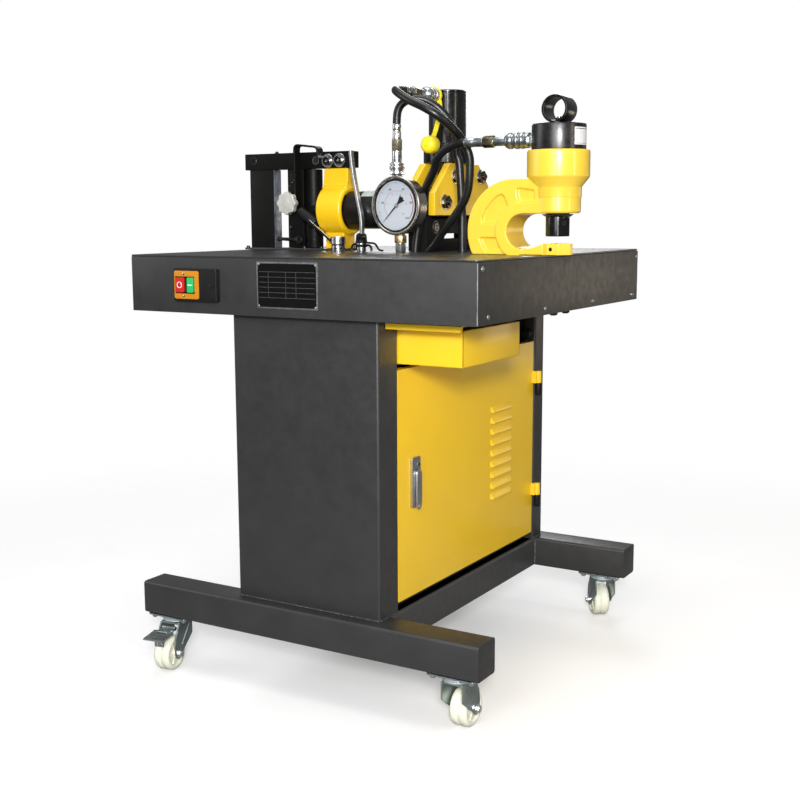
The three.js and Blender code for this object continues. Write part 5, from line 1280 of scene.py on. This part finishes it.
# ----------------------------------------------------------------- table gear
def gear():
    G = at(-61, -30, T)
    p = Piece("valve_body_look", "machine", ["valve_body"], G)
    p.lathe("z", [(0, 0.3), (8.4, 0.3), (8.6, 1), (8.6, 15.4), (8.0, 16), (0, 16)], 0, 0, "chrome_zinc", 44, 0.0)
    p.lathe("z", [(0, 15.8), (12, 15.8), (12, 18), (11, 19), (11, 21), (0, 21)], 0, 0, "black_oxide", 40, 0.3)
    p.prism(ngon(0, 0, 11.6, 6, 15), "z", 8.4, 13.6, "black_oxide", 0.7)
    for s in (-1, 1):
        a, b = sorted((s * 6.4, s * 9.6))
        p.prism([(-7, 19)] + [(7, 19)] + arc(0, 28.5, 6.2, 0, 180, 10), "y", a, b, "black_oxide", 0.7)
        hexbolt(p, "y", s * 9.6, 0, 28.5, s, "black_chrome", 4.2, 2.2)
    # thin bent rods beside the valve
    p.tube(catmull([(8, -2, 17), (20, -3, 16.4), (31, -3, 15.2), (35, -3, 12), (38.5, -3, 6.5), (43, -3, 3.2), (50, -3, 2.3)], 4), 1.9, "black_oxide", seg=12)
    p.tube(catmull([(9, 2, 12), (17, 3, 11), (20, 3, 7), (20.6, 3, 1)], 4), 2.2, "black_oxide", seg=12)
    p.tube(catmull([(-9, -2, 14), (-16, -3, 13), (-20, -3, 7), (-20.5, -3, 1)], 4), 2.2, "black_oxide", seg=12)
    p.build()
    p = Piece("valve_lever_look", "valve_lever", ["valve_lever"], G)
    path = catmull([(0, 0, 24), (1.6, 0, 40), (2, 0, 50), (-0.6, 0, 72), (-5, 0, 91), (-9.6, 0, 113), (-14, 0, 134), (-18, 0, 158), (-20.4, 0, 176), (-21.4, 0, 188)], 4)
    p.tube(path, 2, "lever_zinc", flat=(11.6, 5.2))
    p.cyl("y", 5.4, -6.2, 6.2, 0, 28.5, "chrome_zinc", 0.6, 32)
    p.build()
    p = Piece("table_coupler_look", "machine", ["table_coupler"], G)
    p.lathe("z", [(0, 0.3), (12.6, 0.3), (12.8, 1), (12.8, 10.6), (12.2, 11.2), (0, 11.2)], -53, 0, "chrome_zinc", 56, 0.0)
    p.lathe("z", [(0, 11.0), (11.6, 11.0), (11.6, 13.4), (0, 13.4)], -53, 0, "dark", 56, 0.0)
    p.lathe("z", [(9, 13.2), (13.2, 13.2), (14, 14), (14, 26.6), (13.2, 27.6), (12.2, 28), (9.4, 28), (8.6, 27), (8.6, 18), (0, 18), (0, 13.2), (9, 13.2)], -53, 0, "chrome_zinc", 56, 0.0)
    for k in range(8):
        t = math.radians(45 * k + 12)
        p.lathe("z", [(0, 0), (1.9, 0), (1.9, 0.4), (0, 0.4)], 0, 0, "dark", 16, 0.0)
        q = p.parts.pop()
        q.transform((at(-61, -30, T)).inverted())
        q.transform(Matrix.Rotation(math.radians(90), 4, "Y"))
        q.transform(Matrix.Translation((-53, 0, 5.6)) @ Matrix.Rotation(t, 4, "Z") @ Matrix.Translation((12.5, 0, 0)))
        p.add(q, "dark")
    p.build()


gear()


# ------------------------------------------------------- stage, light, world
def stage():
    me = bpy.data.meshes.new("floor")
    bm = bmesh.new()
    bmesh.ops.create_grid(bm, x_segments=2, y_segments=2, size=7)
    bm.to_mesh(me)
    bm.free()
    ob = bpy.data.objects.new("floor", me)
    bpy.context.scene.collection.objects.link(ob)
    fm = make("floor_mat", (0.80, 0.80, 0.795), 0.6, 0.0, var=0.01, var_scale=3, bump=0.02, bump_scale=60, specular=0.2)
    nt = fm.node_tree
    bs = next(n for n in nt.nodes if n.type == "BSDF_PRINCIPLED")
    out = next(n for n in nt.nodes if n.type == "OUTPUT_MATERIAL")
    # the paper sweep glows a little towards the viewer and bounces less light back up
    dim = nt.nodes.new("ShaderNodeBsdfDiffuse")
    dim.inputs[0].default_value = (0.30, 0.30, 0.30, 1)
    glow = nt.nodes.new("ShaderNodeEmission")
    glow.inputs[1].default_value = 0.24
    add = nt.nodes.new("ShaderNodeAddShader")
    nt.links.new(bs.outputs[0], add.inputs[0])
    nt.links.new(glow.outputs[0], add.inputs[1])
    lpf = nt.nodes.new("ShaderNodeLightPath")
    pick = nt.nodes.new("ShaderNodeMixShader")
    nt.links.new(lpf.outputs["Is Camera Ray"], pick.inputs[0])
    nt.links.new(dim.outputs[0], pick.inputs[1])
    nt.links.new(add.outputs[0], pick.inputs[2])
    # it runs out softly into the background, away from the machine
    co = nt.nodes.new("ShaderNodeTexCoord")
    ln = nt.nodes.new("ShaderNodeVectorMath")
    ln.operation = "LENGTH"
    nt.links.new(co.outputs["Object"], ln.inputs[0])
    fade = nt.nodes.new("ShaderNodeMapRange")
    fade.interpolation_type = "SMOOTHSTEP"
    fade.inputs["From Min"].default_value = 0.75
    fade.inputs["From Max"].default_value = 2.1
    nt.links.new(ln.outputs["Value"], fade.inputs["Value"])
    clear = nt.nodes.new("ShaderNodeBsdfTransparent")
    mixs = nt.nodes.new("ShaderNodeMixShader")
    nt.links.new(fade.outputs[0], mixs.inputs[0])
    nt.links.new(pick.outputs[0], mixs.inputs[1])
    nt.links.new(clear.outputs[0], mixs.inputs[2])
    nt.links.new(mixs.outputs[0], out.inputs[0])
    me.materials.append(fm)

    def area(name, az, dist, z, target, size, power, colour=(1, 1, 1), size_y=None):
        """Soft light at an azimuth, measured from -Y towards +X."""
        loc = Vector((dist * math.sin(math.radians(az)), -dist * math.cos(math.radians(az)), z))
        li = bpy.data.lights.new(name, "AREA")
        li.energy = power
        li.color = colour
        li.shape = "RECTANGLE"
        li.size = size
        li.size_y = size_y or size
        o = bpy.data.objects.new(name, li)
        bpy.context.scene.collection.objects.link(o)
        o.location = loc
        o.rotation_euler = (Vector(target) - loc).to_track_quat("-Z", "Y").to_euler()

    area("flash", 31, 3.3, 1.45, (0, 0, 0.75), 0.42, 88)
    area("strip", 31, 3.2, 1.15, (0, 0, 1.15), 0.24, 24, size_y=2.2)
    area("key", 12, 2.8, 1.5, (0, 0, 0.9), 0.9, 24, size_y=2.2)
    area("side", 82, 3.2, 1.2, (0, 0, 1.0), 0.3, 14, (1.0, 0.92, 0.78), size_y=2.2)
    area("rim", 150, 3.0, 0.6, (0.2, 0, 0.7), 0.9, 2.6, (1.0, 0.84, 0.62), size_y=0.5)
    area("left", -62, 3.0, 1.6, (0, 0, 0.8), 1.2, 12, size_y=1.8)
    area("top", 0, 0.2, 3.3, (0, 0, 0.7), 2.0, 34)
    area("back", 205, 3.0, 2.0, (0, 0, 0.8), 1.4, 26)

    w = bpy.data.worlds.new("studio")
    bpy.context.scene.world = w
    w.use_nodes = True
    nt = w.node_tree
    nt.nodes.clear()
    out = nt.nodes.new("ShaderNodeOutputWorld")
    bg = nt.nodes.new("ShaderNodeBackground")
    bg.inputs[1].default_value = 1.0
    nt.links.new(bg.outputs[0], out.inputs[0])
    tc = nt.nodes.new("ShaderNodeTexCoord")
    sep = nt.nodes.new("ShaderNodeSeparateXYZ")
    nt.links.new(tc.outputs["Generated"], sep.inputs[0])
    ramp = nt.nodes.new("ShaderNodeValToRGB")
    e = ramp.color_ramp.elements
    e[0].position, e[0].color = 0.0, (0.10, 0.10, 0.10, 1)
    e[1].position, e[1].color = 1.0, (0.34, 0.34, 0.35, 1)
    m = ramp.color_ramp.elements.new(0.5)
    m.color = (0.13, 0.13, 0.135, 1)
    mr = nt.nodes.new("ShaderNodeMapRange")
    mr.inputs["From Min"].default_value = -1
    mr.inputs["From Max"].default_value = 1
    nt.links.new(sep.outputs[2], mr.inputs["Value"])
    nt.links.new(mr.outputs[0], ramp.inputs[0])
    lp = nt.nodes.new("ShaderNodeLightPath")
    mix = nt.nodes.new("ShaderNodeMix")
    mix.data_type = "RGBA"
    nt.links.new(lp.outputs["Is Camera Ray"], mix.inputs[0])
    nt.links.new(ramp.outputs[0], mix.inputs[6])
    mix.inputs[7].default_value = (1, 1, 1, 1)
    nt.links.new(mix.outputs[2], bg.inputs[0])
    sc = bpy.context.scene
    sc.view_settings.view_transform = "Standard"
    sc.view_settings.look = "None"
    sc.view_settings.exposure = 0.0


stage()
